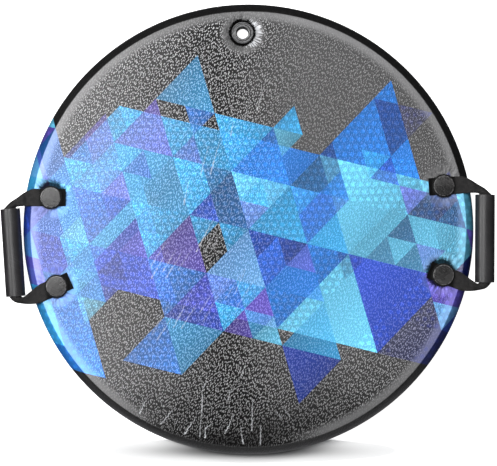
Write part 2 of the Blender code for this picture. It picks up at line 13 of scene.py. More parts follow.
import bpy
import numpy as np
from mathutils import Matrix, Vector


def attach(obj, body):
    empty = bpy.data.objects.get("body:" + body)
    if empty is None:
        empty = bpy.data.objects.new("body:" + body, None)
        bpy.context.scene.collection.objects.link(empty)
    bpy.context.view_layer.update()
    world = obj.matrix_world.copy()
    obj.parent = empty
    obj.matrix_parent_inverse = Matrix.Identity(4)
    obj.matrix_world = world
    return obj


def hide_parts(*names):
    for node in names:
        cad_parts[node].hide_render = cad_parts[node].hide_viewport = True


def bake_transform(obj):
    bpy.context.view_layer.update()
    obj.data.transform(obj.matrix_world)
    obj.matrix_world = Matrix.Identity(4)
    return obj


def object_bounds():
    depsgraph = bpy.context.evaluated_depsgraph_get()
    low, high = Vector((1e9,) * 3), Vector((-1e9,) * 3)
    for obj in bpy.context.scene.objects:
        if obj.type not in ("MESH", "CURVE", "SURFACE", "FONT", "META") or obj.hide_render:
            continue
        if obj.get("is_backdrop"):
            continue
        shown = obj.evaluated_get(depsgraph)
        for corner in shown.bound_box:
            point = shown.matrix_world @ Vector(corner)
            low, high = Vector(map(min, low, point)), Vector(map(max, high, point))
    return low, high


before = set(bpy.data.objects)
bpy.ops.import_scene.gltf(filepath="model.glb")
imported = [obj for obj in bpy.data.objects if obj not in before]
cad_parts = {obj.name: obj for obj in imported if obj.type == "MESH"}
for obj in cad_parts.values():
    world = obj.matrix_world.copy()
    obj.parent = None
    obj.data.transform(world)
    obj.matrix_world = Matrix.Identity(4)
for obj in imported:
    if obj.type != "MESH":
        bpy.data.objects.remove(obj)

cad_box = [list(corner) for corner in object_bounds()]

# %% [markdown]
# ## Sizes
# The finer shapes have to sit where the solids are, so the sizes that they share with them
# come first, in metres. Only the crease, where the film turns down over the rim, lies
# 1.5 mm further in than the solid's. A handle is drawn in a frame of its own: u outwards,
# v along the grip towards the grommet, w up. Its zero is on the line where the webbing
# folds.

# %% Sizes of the disc and its fittings
DISC_RADIUS = 0.330
DISC_HEIGHT = 0.038
CROWN_DROP = 0.0003
CROWN_RADIUS = 0.282
CREASE_RADIUS = 0.3175
CREASE_HEIGHT = 0.0335
SEAM_HEIGHT = 0.0105
SEAT_HEIGHT = 0.0331
BASE_FLAT_RADIUS = 0.308
SHEET_THICKNESS = 0.0012
GAP = 0.0003
GROMMET_CIRCLE = 0.2863
GROMMET_HOLE = 0.0108
POST_HOLE = 0.0043
RIVET_U = 0.28411
RIVET_V = 0.06475
HANDLE_TURN = math.radians(-2.0)

# %% Sizes of the handles
STRAP_WIDTH = 0.025
STRAP_THICKNESS = 0.0016
STRAP_TOP = SEAT_HEIGHT + GAP + STRAP_THICKNESS
FOLD_REACH = 0.0219
FOLD_U = RIVET_U + FOLD_REACH
GRIP_LENGTH = 0.128
GRIP_RADIUS = 0.01425
GRIP_BORE = 0.011
GRIP_DROP = 0.0068
GRIP_U = DISC_RADIUS + 0.00075 + GRIP_RADIUS - FOLD_U
LEANS = {"upper": math.radians(4.0), "lower": math.radians(-20.0)}
ENDS = {"upper": 1, "lower": -1}
SIDES = {"right": 1, "left": -1}


# %% Places on the disc
def on_disc(side, u, v):
    """A place in a handle's frame as x and y on the disc. The left is a mirror image."""
    x = (u + FOLD_U) * math.cos(HANDLE_TURN) - v * math.sin(HANDLE_TURN)
    y = (u + FOLD_U) * math.sin(HANDLE_TURN) + v * math.cos(HANDLE_TURN)
    return SIDES[side] * x, y


def rivet_place(side, level):
    """The middle of one rivet, and the way its strap leaves it."""
    end, lean = ENDS[level], LEANS[level]
    middle = np.array(on_disc(side, -FOLD_REACH, end * RIVET_V))
    tip = on_disc(side, -FOLD_REACH + math.cos(lean), end * RIVET_V + math.sin(lean))
    return middle, np.array(tip) - middle


def distance(points, middle):
    """How far each point lies from a place."""
    return np.hypot(*(points - middle).T)


def fittings(at_rivets, at_grommet):
    """The middles of the rivets and the grommet, each with a size that belongs to it."""
    return [(middle, at_rivets) for middle, _ in RIVETS.values()] + [(GROMMET, at_grommet)]


RIVETS = {(s, l): rivet_place(s, l) for s in SIDES for l in LEANS}
GROMMET = np.array((0.0, GROMMET_CIRCLE))
for (side, level), (middle, _) in RIVETS.items():
    print("rivet", side, level, np.round(middle * 1000, 1), "mm")


# %% [markdown]
# ## Meshes and turned pieces
# Rivets, washers, the grommet and the grips are all turned pieces. Each is a line of
# (radius, height) points swept round an axis. Real moulded edges are never sharp, so a
# helper rounds every corner of the line first and keeps a narrow band of faces beside it,
# which keeps the flat faces flat under smooth shading. The rounded points carry a value
# named rim, which the materials read to lay wear along edges.

# %% Mesh helpers
def add_mesh(name, points, faces, material, values=None, sharp=40):
    """A smooth mesh piece, with named values at its points."""
    mesh = bpy.data.meshes.new(name)
    mesh.from_pydata([tuple(p) for p in points], [], faces)
    mesh.validate()
    mesh.shade_smooth()
    mesh.set_sharp_from_angle(angle=math.radians(sharp))
    for title, numbers in (values or {}).items():
        layer = mesh.attributes.new(title, "FLOAT", "POINT")
        layer.data.foreach_set("value", np.asarray(numbers, dtype=np.float32))
    mesh.materials.append(material)
    piece = bpy.data.objects.new(name, mesh)
    bpy.context.scene.collection.objects.link(piece)
    return piece


def facing_out(side, faces):
    """Faces as they are on the right, and turned round on the mirrored left."""
    return [face[::-1] for face in faces] if side == "left" else faces


def seat(piece, body, slot, *nodes):
    """Let a piece ride on a body in place of CAD nodes. The slot is not used."""
    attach(piece, body)
    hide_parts(*nodes)
    print(piece.name, "rides on", body, "with", len(piece.data.polygons), "faces")


# %% Rounded lines
STRAIGHT = math.cos(math.radians(12))
EDGE_SHARE = 0.3
BAND = 1.6


def rounded(line, radius, closed=False, bends=3):
    """A line with its corners rounded: (radius, height, rim) points."""
    count = len(line)
    result = []
    for index, here in enumerate(line):
        here = np.array(here, dtype=float)
        before = np.array(line[index - 1]) - here
        after = np.array(line[(index + 1) % count]) - here
        lengths = np.linalg.norm(before), np.linalg.norm(after)
        at_end = not closed and index in (0, count - 1)
        if at_end or -before @ after / lengths[0] / lengths[1] > STRAIGHT:
            result.append((*here, 0.0))
            continue
        reach = min(radius, EDGE_SHARE * lengths[0], EDGE_SHARE * lengths[1])
        before *= reach / lengths[0]
        after *= reach / lengths[1]
        result.append((*(here + before * BAND), 0.0))
        for step in range(bends + 1):
            t = step / bends
            result.append((*(here + before * (1 - t) ** 2 + after * t**2), 1.0))
        result.append((*(here + after * BAND), 0.0))
    return result


# %% Turned pieces
def turned_mesh(line, steps, closed):
    """Points, faces and rim values of a line turned once round the z axis."""
    points, faces, rim, rows = [], [], [], []
    angles = [2 * math.pi * step / steps for step in range(steps)]
    for radius, height, worn in line:
        if radius < 1e-6:
            rows.append([len(points)] * steps)
            points.append((0.0, 0.0, height))
            rim.append(worn)
            continue
        rows.append(list(range(len(points), len(points) + steps)))
        points += [(radius * math.cos(a), radius * math.sin(a), height) for a in angles]
        rim += [worn] * steps
    pairs = list(zip(rows, rows[1:])) + ([(rows[-1], rows[0])] if closed else [])
    for top, low in pairs:
        for i in range(steps):
            j = (i + 1) % steps
            corners = [top[i], low[i], low[j], top[j]]
            faces.append(list(dict.fromkeys(corners)))
    return np.array(points), faces, rim


def fitting(name, slot, node, line, bend, steps, material, middle, closed=False, bends=3):
    """A turned fitting with rounded edges that stands at a place on the disc."""
    points, faces, rim = turned_mesh(rounded(line, bend, closed, bends), steps, closed)
    points[:, :2] += middle
    piece = add_mesh(name, points, faces, material, {"rim": rim})
    seat(piece, "disc", slot, node)


# %% [markdown]
# ## Shader helpers
# Materials are node trees. Short helpers keep their code readable: they add a node, do a
# sum, move a value into another range or measure a distance. All of them write into the
# tree that was opened last. Numbers and colours are set straight on the sockets.

# %% Node helpers
OPEN = {}
FLAT = (1.0, 1.0, 0.0)


def join(value, socket):
    """Set a socket to a number or a colour, or link another socket to it."""
    if isinstance(value, bpy.types.NodeSocket):
        OPEN["tree"].links.new(value, socket)
    else:
        socket.default_value = value


def add(kind, inputs=None, **settings):
    """One node in the open tree; its inputs are numbers, colours or other sockets."""
    node = OPEN["tree"].nodes.new("ShaderNode" + kind)
    for title, value in settings.items():
        setattr(node, title, value)
    for key, value in (inputs or {}).items():
        join(value, node.inputs[key])
    return node


def calc(operation, *values, clamp=False):
    """The result of a sum on numbers and sockets."""
    return add("Math", dict(enumerate(values)), operation=operation, use_clamp=clamp).outputs[0]


def times(*values):
    """The product of numbers and sockets."""
    return reduce(lambda first, second: calc("MULTIPLY", first, second), values)


def times_plus(value, factor, extra, clamp=False):
    """A value times a factor, and something extra."""
    return calc("MULTIPLY_ADD", value, factor, extra, clamp=clamp)


def remap(value, low, high, to_low=0.0, to_high=1.0, smooth=True):
    """A value moved from one range to another and kept inside it."""
    kind = "SMOOTHSTEP" if smooth else "LINEAR"
    spans = {"Value": value, "From Min": low, "From Max": high, "To Min": to_low, "To Max": to_high}
    return add("MapRange", spans, interpolation_type=kind).outputs[0]


def blend_colours(factor, first, second):
    """Two colours mixed."""
    return add("Mix", {0: factor, 6: first, 7: second}, data_type="RGBA").outputs[2]


def attribute(name):
    """A value that the mesh carries at its points."""
    return add("Attribute", attribute_name=name).outputs["Fac"]


# %% Vector helpers
def vector_calc(operation, first, second):
    """The result of a sum on vectors; SCALE takes a number second."""
    key = 3 if operation == "SCALE" else 1
    return add("VectorMath", {0: first, key: second}, operation=operation).outputs[0]


def dot(first, second):
    """The dot product of two vectors."""
    return add("VectorMath", {0: first, 1: second}, operation="DOT_PRODUCT").outputs["Value"]


def length(vector):
    """How long a vector is."""
    return add("VectorMath", {0: vector}, operation="LENGTH").outputs["Value"]


def split(vector):
    """The X, Y and Z of a vector."""
    return add("SeparateXYZ", {0: vector}).outputs


def spin(vector, angle):
    """A vector turned about the z axis."""
    given = {"Vector": vector, "Axis": (0, 0, 1), "Angle": angle}
    return add("VectorRotate", given, rotation_type="AXIS_ANGLE").outputs[0]


def flat_distance(first, second=(0.0, 0.0, 0.0)):
    """How far two places are apart, seen from above."""
    away = vector_calc("SUBTRACT", first, second)
    return length(vector_calc("MULTIPLY", away, FLAT))


def point_at(x, y):
    """A place on the disc as plain numbers."""
    return float(x), float(y), 0.0


# %% Noise helpers
def noise(spot, scale, detail=2.0, output="Fac", **settings):
    """Soft noise at a place: a number, or three of them as a Color."""
    spans = {"Vector": spot, "Scale": scale, "Detail": detail}
    return add("TexNoise", spans, **settings).outputs[output]


def push(spot, field, reach):
    """A place pushed about by a noise's colour; the reach is one number or three."""
    shift = vector_calc("SUBTRACT", field, (0.5, 0.5, 0.5))
    shift = vector_calc("MULTIPLY" if isinstance(reach, tuple) else "SCALE", shift, reach)
    return vector_calc("ADD", spot, shift)


def wander(spot, scale, reach):
    """A place moved about by noise, seen from above."""
    return push(spot, noise(spot, scale, 1.0, "Color"), (reach, reach, 0.0))


# %% Groups and materials
SOCKETS = {"Vector": "NodeSocketVector", "Colour": "NodeSocketColor"}


def add_sockets(group, way, titles):
    """Named sockets at one end of a group; the last word of a name says its kind."""
    for title in titles:
        words = title.split("_")
        kind = SOCKETS.get(words[-1], "NodeSocketFloat")
        yield group.interface.new_socket(" ".join(words), in_out=way, socket_type=kind)


def open_group(name, **inputs):
    """A new node group with its inputs; an underscore in a name stands for a space."""
    group = bpy.data.node_groups.new(name, "ShaderNodeTree")
    for socket, default in zip(add_sockets(group, "INPUT", inputs), inputs.values()):
        if default is not None:
            socket.default_value = default
    OPEN["tree"] = group
    return group.nodes.new("NodeGroupInput").outputs


def close_group(**results):
    """The open group, with what it works out joined to its outputs."""
    group = OPEN["tree"]
    titles = [socket.name for socket in add_sockets(group, "OUTPUT", results)]
    end = group.nodes.new("NodeGroupOutput")
    for title, value in zip(titles, results.values()):
        join(value, end.inputs[title])
    print("group", group.name, "gives", ", ".join(titles))
    return group


def use(group, **values):
    """A group placed in the open tree: its outputs."""
    node = add("Group", node_tree=group)
    for title, value in values.items():
        join(value, node.inputs[title.replace("_", " ")])
    return node.outputs


def open_material(name):
    """A new material and its Principled shader, with its tree open."""
    material = bpy.data.materials.new(name)
    material.use_nodes = True
    OPEN["tree"] = material.node_tree
    return material, material.node_tree.nodes["Principled BSDF"]


def place():
    """Where a point is on its piece, in metres."""
    return add("TexCoord").outputs["Object"]


def wire(shader, colour, roughness, height, depth):
    """Join a finish to its shader; the height goes through a bump of a depth in metres."""
    join(colour, shader.inputs["Base Color"])
    join(roughness, shader.inputs["Roughness"])
    bump = add("Bump", {"Strength": 1.0, "Distance": depth, "Height": height})
    join(bump.outputs[0], shader.inputs["Normal"])


# %% [markdown]
# ## Effects that several finishes share
# The base sheet and the moulded plastics have a fine embossed grain, and the cut cells of
# foam look much like it, so it is one group with a size. It is a cell texture whose cells
# are pushed about by noise, which gives the uneven pebbles of an embossing roller. The
# printed film has a flatter grain of its own, which comes later.

# %% Embossed grain
def make_grain():
    """Pebbles of a given size, from 0 in the furrows to 1 on the crowns."""
    given = open_group("embossed_grain", Position_Vector=None, Size=0.002, Unevenness=0.6)
    scaled = vector_calc("SCALE", given["Position Vector"], calc("DIVIDE", 1.0, given["Size"]))
    uneven = times(given["Unevenness"], 2.2)
    moved = push(scaled, noise(scaled, 0.9, 2.0, "Color"), uneven)
    spans = {"Vector": moved, "Scale": 1.0, "Smoothness": 0.45}
    cells = add("TexVoronoi", spans, feature="SMOOTH_F1").outputs["Distance"]
    crowns = remap(cells, 0.1, 0.75, 0.7, 0.0)
    height = times_plus(noise(moved, 2.3, 3.0), 0.3, crowns)
    return close_group(Height=height, Patches=noise(scaled, 0.05))


GRAIN = make_grain()


# %% [markdown]
# Handling leaves the same marks on every plastic part: a faint haze in patches, fine
# scratches, and a paler, smoother line where an edge is rubbed. The second group adds all
# three to a colour and a roughness. Its edge input is the rim value of a turned piece.

# %% Wear and scratches
SCRATCHES = ((0.5, (40.0, 900.0, 40.0)), (-0.9, (1100.0, 55.0, 55.0)))


def make_wear():
    """Haze, fine scratches and rubbed edges over a colour and a roughness."""
    given = open_group(
        "handling_wear",
        Position_Vector=None,
        Base_Colour=(0.03, 0.03, 0.03, 1.0),
        Roughness=0.4,
        Edge=0.0,
        Worn_Colour=(0.2, 0.2, 0.2, 1.0),
        Amount=0.5,
    )
    spot = given["Position Vector"]
    haze = remap(noise(spot, 38.0, 4.0), 0.35, 0.75)
    hairs = []
    for turn, stretch in SCRATCHES:
        long = vector_calc("MULTIPLY", spin(spot, turn), stretch)
        hairs.append(remap(noise(long, 1.0, 1.0), 0.66, 0.74))
    lines = calc("MAXIMUM", *hairs)
    rubbed = times(given["Edge"], remap(noise(spot, 260.0), 0.38, 0.62))
    marks = calc("ADD", times(lines, 0.25), times(rubbed, 0.7))
    marks = calc("ADD", marks, times(haze, 0.12))
    marks = calc("MULTIPLY", marks, given["Amount"], clamp=True)
    colour = blend_colours(marks, given["Base Colour"], given["Worn Colour"])
    rough = times(calc("SUBTRACT", haze, 0.5), 0.18)
    rough = times_plus(rough, given["Amount"], given["Roughness"])
    rough = times_plus(rubbed, -0.1, rough, clamp=True)
    return close_group(Colour=colour, Roughness=rough, Scratches=lines)


WEAR = make_wear()


# %% [markdown]
# ## The print
# The film is printed with overlapping see-through shards. One lattice of triangles is
# enough for that: each triangle gets a random number of its own, which picks its colour
# and says whether it is there at all. The group works out, for any point, that random
# number, the middle of the point's triangle and how the shade runs across it. The
# material lays three lattices of unlike size over one another.

# %% One layer of shards
ROOT = math.sqrt(3)


def make_shards():
    """A lattice of triangles, each with random numbers of its own."""
    given = open_group("shard_lattice", Position_Vector=None, Size=0.1, Seed=0.0, Tilt=0.0)
    parts = split(spin(given["Position Vector"], given["Tilt"]))
    across = calc("DIVIDE", parts["X"], given["Size"])
    along = calc("DIVIDE", parts["Y"], given["Size"])
    sides = calc("SUBTRACT", across, calc("DIVIDE", along, ROOT)), times(along, 2 / ROOT)
    first_cell, second_cell = (calc("FLOOR", side) for side in sides)
    first_part, second_part = (calc("FRACT", side) for side in sides)
    upper = calc("GREATER_THAN", calc("ADD", first_part, second_part), 1.0)
    cell = add("CombineXYZ", {"X": first_cell, "Y": second_cell, "Z": upper}).outputs[0]
    draw = {"Vector": cell, "W": given["Seed"]}
    chance = add("TexWhiteNoise", draw, noise_dimensions="4D").outputs["Color"]
    inset = times_plus(upper, 1 / 3, 1 / 3)
    middle_a = calc("ADD", first_cell, inset)
    middle_b = calc("ADD", second_cell, inset)
    middle_x = times_plus(middle_b, 0.5, middle_a)
    middle = add("CombineXYZ", {"X": middle_x, "Y": times(middle_b, ROOT / 2)}).outputs[0]
    middle = vector_calc("SCALE", middle, given["Size"])
    middle = spin(middle, times(given["Tilt"], -1.0))
    shade = times_plus(times_plus(first_part, -2.0, 1.0), upper, first_part)
    return close_group(Random_Colour=chance, Middle_Vector=middle, Shade=shade)


SHARDS = make_shards()

# %% [markdown]
# Each layer picks its colours from a short list of blues and violets. It thins out
# towards the top and the bottom of the disc, where the film stays black, and a lattice
# of soft dots runs through some of its triangles, as on a half-tone print.

# %% Colours of the print
PRINT_BLUES = (
    (0.00, (0.05, 0.48, 0.95)),
    (0.22, (0.02, 0.24, 0.82)),
    (0.42, (0.16, 0.66, 0.98)),
    (0.58, (0.03, 0.09, 0.62)),
    (0.74, (0.16, 0.11, 0.66)),
    (0.88, (0.01, 0.02, 0.16)),
)
FILM_BLACK = (0.014, 0.0135, 0.0135, 1.0)
PRINT_TILT = 0.27


def colour_list(value, stops):
    """A colour picked from a list by a value from 0 to 1."""
    ramp = add("ValToRGB", {"Fac": value})
    ramp.color_ramp.interpolation = "CONSTANT"
    marks = ramp.color_ramp.elements
    while len(marks) < len(stops):
        marks.new(1.0)
    for mark, (position, colour) in zip(marks, stops):
        mark.position = position
        mark.color = (*colour, 1.0)
    return ramp.outputs["Color"]


def lay_shards(under, spot, size, seed, share, cover):
    """One see-through layer of shards over the colours under it."""
    layer = use(SHARDS, Position_Vector=spot, Size=size, Seed=seed, Tilt=PRINT_TILT)
    chance = add("SeparateColor", {0: layer["Random Colour"]}).outputs
    middle = split(layer["Middle Vector"])
    height = calc("ABSOLUTE", times_plus(middle["X"], 0.15, middle["Y"]))
    room = remap(height, 0.09, 0.215, share, 0.0, smooth=False)
    there = calc("LESS_THAN", chance["Red"], room)
    west = times_plus(middle["X"], 0.5, chance["Green"], clamp=True)
    colour = colour_list(west, PRINT_BLUES)
    colour = vector_calc("SCALE", colour, times_plus(layer["Shade"], 0.5, 0.75))
    cover = times(there, times_plus(chance["Blue"], 0.3, cover))
    return blend_colours(cover, under, colour), chance["Blue"]


# %% Half-tone dots
def stagger(rows):
    """0 on even rows and a half on odd ones."""
    return times(calc("FLOORED_MODULO", calc("FLOOR", rows), 2.0), 0.5)


def dot_rows(spot, pitch):
    """Soft round dots in staggered rows."""
    parts = split(vector_calc("SCALE", spot, 1 / pitch))
    across = calc("ADD", parts["X"], stagger(parts["Y"]))
    x, y = (calc("SUBTRACT", calc("FRACT", part), 0.5) for part in (across, parts["Y"]))
    offset = add("CombineXYZ", {"X": x, "Y": y}).outputs[0]
    return remap(length(offset), 0.2, 0.4, 1.0, 0.0)


# %% [markdown]
# ## The skin
# The skin is a film laminated to the foam: black, embossed, half glossy, with the print
# under its top coat. A principled shader with the grain as bump gives part of the sparkle
# where the pebbles catch the lamp, and a sheen painted on their crowns gives the rest.
# Where the film is pulled taut, round the fittings and along the rim, its grain is
# stretched flat, and a thin painted sheen lies on it. The mesh says where, with a value
# named taut.
#
# A folded film keeps fine crooked ridges, and a thin pale line is painted along each as
# its highlight. Those in from the front rim are the sled's plainest wear, so each has its
# place in a list: where it starts, where it ends and how strong it is. Fainter ones run up
# across the middle in three loose groups, which a random generator scatters. The film's
# finish and the skin's shape both read these lists, so that each painted highlight runs
# along a fold of the mesh. The lines stay out of the bump, because the shader grows too
# large for the renderer with them.

# %% Where the film is creased
FRONT_CREASES = (
    ((-0.166, -0.263), (-0.153, -0.236), 0.8),
    ((-0.135, -0.279), (-0.114, -0.255), 0.8),
    ((-0.102, -0.295), (-0.083, -0.269), 1.0),
    ((-0.076, -0.269), (-0.073, -0.228), 1.0),
    ((-0.073, -0.230), (-0.064, -0.212), 0.7),
    ((-0.072, -0.301), (-0.071, -0.286), 1.0),
    ((-0.071, -0.288), (-0.061, -0.281), 0.8),
    ((-0.080, -0.299), (-0.077, -0.271), 0.7),
    ((-0.043, -0.296), (-0.029, -0.268), 1.0),
    ((-0.037, -0.247), (-0.027, -0.219), 0.6),
    ((-0.016, -0.212), (-0.010, -0.196), 0.6),
    ((-0.017, -0.311), (-0.020, -0.287), 0.9),
    ((-0.004, -0.292), (-0.001, -0.248), 0.9),
    ((0.008, -0.314), (0.010, -0.282), 0.8),
    ((0.040, -0.277), (0.031, -0.263), 0.5),
    ((0.052, -0.275), (0.042, -0.258), 0.4),
)
# How many, where the first starts, the step to the next, heading, lengths and strength
SLANTING_GROUPS = (
    (9, (-0.145, -0.15), (0.0165, 0.006), 60, (0.035, 0.085), 0.75),
    (6, (-0.085, 0.07), (0.021, 0.022), 74, (0.03, 0.06), 0.85),
    (8, (-0.150, -0.060), (0.013, 0.003), 61, (0.03, 0.075), 0.95),
)


def slanting_creases():
    """Long faint creases that run up across the middle."""
    rng = random.Random(12)
    creases = []
    for count, first, step, slant, lengths, strength in SLANTING_GROUPS:
        for index in range(count):
            heading = math.radians(slant + rng.uniform(-5, 5))
            way = np.array((math.cos(heading), math.sin(heading)))
            start = np.array(first) + index * np.array(step) + rng.uniform(-0.035, 0.02) * way
            run = rng.uniform(*lengths) * way
            creases.append((start, start + run, strength * rng.uniform(0.35, 1.0)))
    return creases


SLANTING_CREASES = slanting_creases()
print("creases:", len(FRONT_CREASES), "at the front,", len(SLANTING_CREASES), "across the middle")


# %% One crease line
CREASE_WIDTH = 0.0014


def make_crease_line():
    """A thin line between two places, thinner towards its end."""
    ends = {"Start_Vector": None, "End_Vector": None}
    given = open_group("crease_line", Position_Vector=None, **ends, Width=0.001, Strength=1.0)
    run = vector_calc("SUBTRACT", given["End Vector"], given["Start Vector"])
    away = vector_calc("SUBTRACT", given["Position Vector"], given["Start Vector"])
    share = calc("DIVIDE", dot(away, run), dot(run, run), clamp=True)
    far = flat_distance(away, vector_calc("SCALE", run, share))
    width = times(given["Width"], calc("SUBTRACT", 1.2, share))
    line = remap(calc("DIVIDE", far, width), 0.0, 1.0, 1.0, 0.0)
    return close_group(Line=times(line, given["Strength"]))


CREASE_LINE = make_crease_line()


def film_creases(spot):
    """The painted highlight lines along the film's creases, crooked and broken."""
    crooked = wander(spot, 300.0, 0.0035)
    lines = 0.0
    for start, end, strength in (*FRONT_CREASES, *SLANTING_CREASES):
        ends = {"Start_Vector": (*start, 0.0), "End_Vector": (*end, 0.0), "Strength": strength}
        line = use(CREASE_LINE, Position_Vector=crooked, Width=CREASE_WIDTH, **ends)
        lines = calc("MAXIMUM", line["Line"], lines)
    return times(lines, remap(noise(spot, 230.0, 1.0), 0.36, 0.5, 0.3, 1.0))


# %% [markdown]
# Round each fitting the film is gathered in small pleats that run out from it. Noise on
# a ring of directions gives them: the direction is taken as a cosine and a sine, so that
# the pattern closes on itself, and the distance only changes it slowly. The valleys between
# the pleats get a painted shade. Where the film dives steeply to a fitting it lies in its
# own shade, mostly on one side, and that shade is painted too, as a collar: a ragged round
# patch whose middle is moved off the fitting's own. Beside the grommet the slope of the
# dimple faces the lamps on one side, and a painted highlight lies there in a crescent with
# spiky streaks, for which the same pleats serve, more of them and closer.

# %% Pleats round a fitting
def make_gathers():
    """Pleats that run out from a centre: their ridges, and the shade between them."""
    places = {"Position_Vector": None, "Centre_Vector": None}
    given = open_group("gathered_pleats", **places, Start=0.0175, Reach=0.034, Count=6.0)
    away = vector_calc("SUBTRACT", given["Position Vector"], given["Centre Vector"])
    away = vector_calc("MULTIPLY", away, FLAT)
    far = length(away)
    way = add("VectorMath", {0: away}, operation="NORMALIZE").outputs[0]
    ring = vector_calc("SCALE", way, given["Count"])
    out = add("CombineXYZ", {"Z": times(far, 70.0)}).outputs[0]
    moved = vector_calc("ADD", vector_calc("ADD", ring, out), given["Centre Vector"])
    spans = {"Vector": moved, "Scale": 1.0, "Detail": 1.0, "Roughness": 0.3}
    ridge = remap(add("TexNoise", spans).outputs["Fac"], 0.36, 0.64)
    start = remap(far, given["Start"], calc("ADD", given["Start"], 0.002))
    stop = remap(far, times(given["Reach"], 0.6), given["Reach"], 1.0, 0.0)
    valley = times(calc("SUBTRACT", 1.0, ridge), stop)
    return close_group(Height=times(ridge, times(start, stop)), Valleys=valley)


GATHERS = make_gathers()
TIGHT_RIVETS = (("left", "upper"), ("right", "lower"))
RIVET_PLEATS, GROMMET_PLEATS = 0.037, 0.031
# How far each collar of painted shade is moved, where it starts to fade and ends, and how dark it is
COLLARS = {
    ("left", "upper"): ((0.001, 0.0045), 0.0165, 0.0245, 0.95),
    ("right", "lower"): ((-0.0035, 0.003), 0.0185, 0.0250, 0.95),
    "grommet": ((-0.0004, 0.0002), 0.0186, 0.0208, 0.98),
}
# A faint ring of painted shade round the washers of the other two rivets
FAINT_COLLAR = ((0.0, 0.0), 0.0165, 0.0195, 0.6)


def film_pleats(spot):
    """The pleats round all five fittings: their height, and how much light is left after the painted
    shade of their valleys and collars.
    """
    ragged = wander(spot, 420.0, 0.007)
    height, lit = 0.0, 1.0
    for key, ((x, y), reach) in zip((*RIVETS, "grommet"), fittings(RIVET_PLEATS, GROMMET_PLEATS)):
        folds = use(GATHERS, Position_Vector=spot, Centre_Vector=point_at(x, y), Reach=reach)
        height = calc("MAXIMUM", folds["Height"], height)
        # The valleys between the pleats get a painted shade
        depth = 0.45 if key in COLLARS else 0.3
        lit = times(lit, times_plus(folds["Valleys"], -depth, 1.0))
        (dx, dy), inner, outer, dark = COLLARS.get(key, FAINT_COLLAR)
        collar = remap(flat_distance(ragged, point_at(x + dx, y + dy)), inner, outer, 1.0, 0.0)
        lit = times(lit, times_plus(collar, -dark, 1.0))
    return height, lit


def grommet_crescent_highlight(spot, lit):
    """A painted highlight in a crescent on the side of the grommet's dimple that faces the lamps."""
    x, y = GROMMET
    centre = point_at(x, y)
    folds = use(GATHERS, Position_Vector=spot, Centre_Vector=centre, Reach=0.06, Count=15.0)
    far = flat_distance(wander(spot, 300.0, 0.002), point_at(x + 0.0088, y - 0.0012))
    far = times_plus(folds["Height"], -0.0065, far)
    crescent = remap(far, 0.0125, 0.0165, 1.0, 0.0)
    return times(crescent, times_plus(folds["Height"], 0.6, 0.25), lit)


# %% [markdown]
# The film's grain is a flat pattern of cells, drawn out a little along a slant. It is so
# fine that its furrows are hardly lit at all, so they are darkened in the colour too. The
# glints that the lamps leave on its crowns are painted in as a pale sheen. The painted
# sheen is thinner on the right and towards the front, and almost gone in one painted dark
# patch at the front rim. A thin veil of painted sheen also lies over the whole film on
# both sides, least where it is printed.

# %% Print, grain and painted sheen of the film
GRAIN_SLANT = 0.5
GRAIN_STRETCH = (1.0, 0.42, 0.0)
GRAIN_SCALE = 500.0
GRAIN_PUSH = 0.5
DARK_PATCH_X = -0.045
# Colour of the sheen painted on the film
SHEEN_COLOUR = (0.80, 0.795, 0.805)
# Colour of the highlight painted along the creases
CREASE_HIGHLIGHT = (0.70, 0.71, 0.74, 1.0)


def film_print(spot):
    """The film's printed colour: three layers of shards, with dots in some of them."""
    colour, _ = lay_shards(FILM_BLACK, spot, 0.150, 5.0, 0.95, 0.66)
    colour, chance = lay_shards(colour, spot, 0.088, 17.0, 0.60, 0.5)
    dots = times(dot_rows(spot, 0.011), calc("GREATER_THAN", chance, 0.4))
    colour, _ = lay_shards(colour, spot, 0.044, 23.0, 0.26, 0.42)
    return blend_colours(times(dots, 0.6), colour, vector_calc("SCALE", colour, 1.7))


def film_grain(spot):
    """Height of the film's flat grain, and the broad patches in its gloss."""
    long = vector_calc("MULTIPLY", spin(spot, GRAIN_SLANT), GRAIN_STRETCH)
    field = noise(long, GRAIN_SCALE * 0.8, output="Color", noise_dimensions="2D")
    spans = {"Vector": push(long, field, GRAIN_PUSH / GRAIN_SCALE), "Scale": GRAIN_SCALE}
    cells = add("TexVoronoi", spans, voronoi_dimensions="2D").outputs["Distance"]
    patches = noise(spot, 17.0)
    return remap(cells, 0.05, 0.65, 1.0, 0.0), patches


def painted_sheen(spot, inked):
    """How much painted sheen lies on the crowns of the grain, and how much on the whole film."""
    parts = split(wander(spot, 22.0, 0.05))
    x, y = parts["X"], parts["Y"]
    # The painted sheen falls off to the right and towards the front
    sheen_drop = times(remap(x, -0.03, 0.09), remap(y, -0.2, 0.1, -0.15, -0.6))
    crowns = times(calc("ADD", sheen_drop, 1.0), remap(y, -0.33, 0.3, 0.40, 0.68, smooth=False))
    crowns = times(crowns, remap(y, -0.30, -0.23, 0.5, 1.0))
    # A painted dark patch just inside the front rim takes most of the sheen away
    aside = calc("ABSOLUTE", calc("SUBTRACT", x, DARK_PATCH_X))
    patch = times(remap(aside, 0.06, 0.10, 1.0, 0.0), 0.8, remap(y, -0.308, -0.275, 1.0, 0.0))
    # A thin veil of painted sheen: on the left, and on bare film on the right
    bare = times_plus(inked, -0.55, 0.65)
    right = times(remap(x, -0.06, 0.10), bare, remap(y, -0.30, -0.12, 0.1, 1.0))
    left = times(remap(x, -0.3, 0.0, 1.0, 0.0), remap(y, -0.30, -0.2, 0.1, 1.0))
    sheet = calc("ADD", left, right)
    return times(crowns, calc("SUBTRACT", 1.0, patch)), sheet


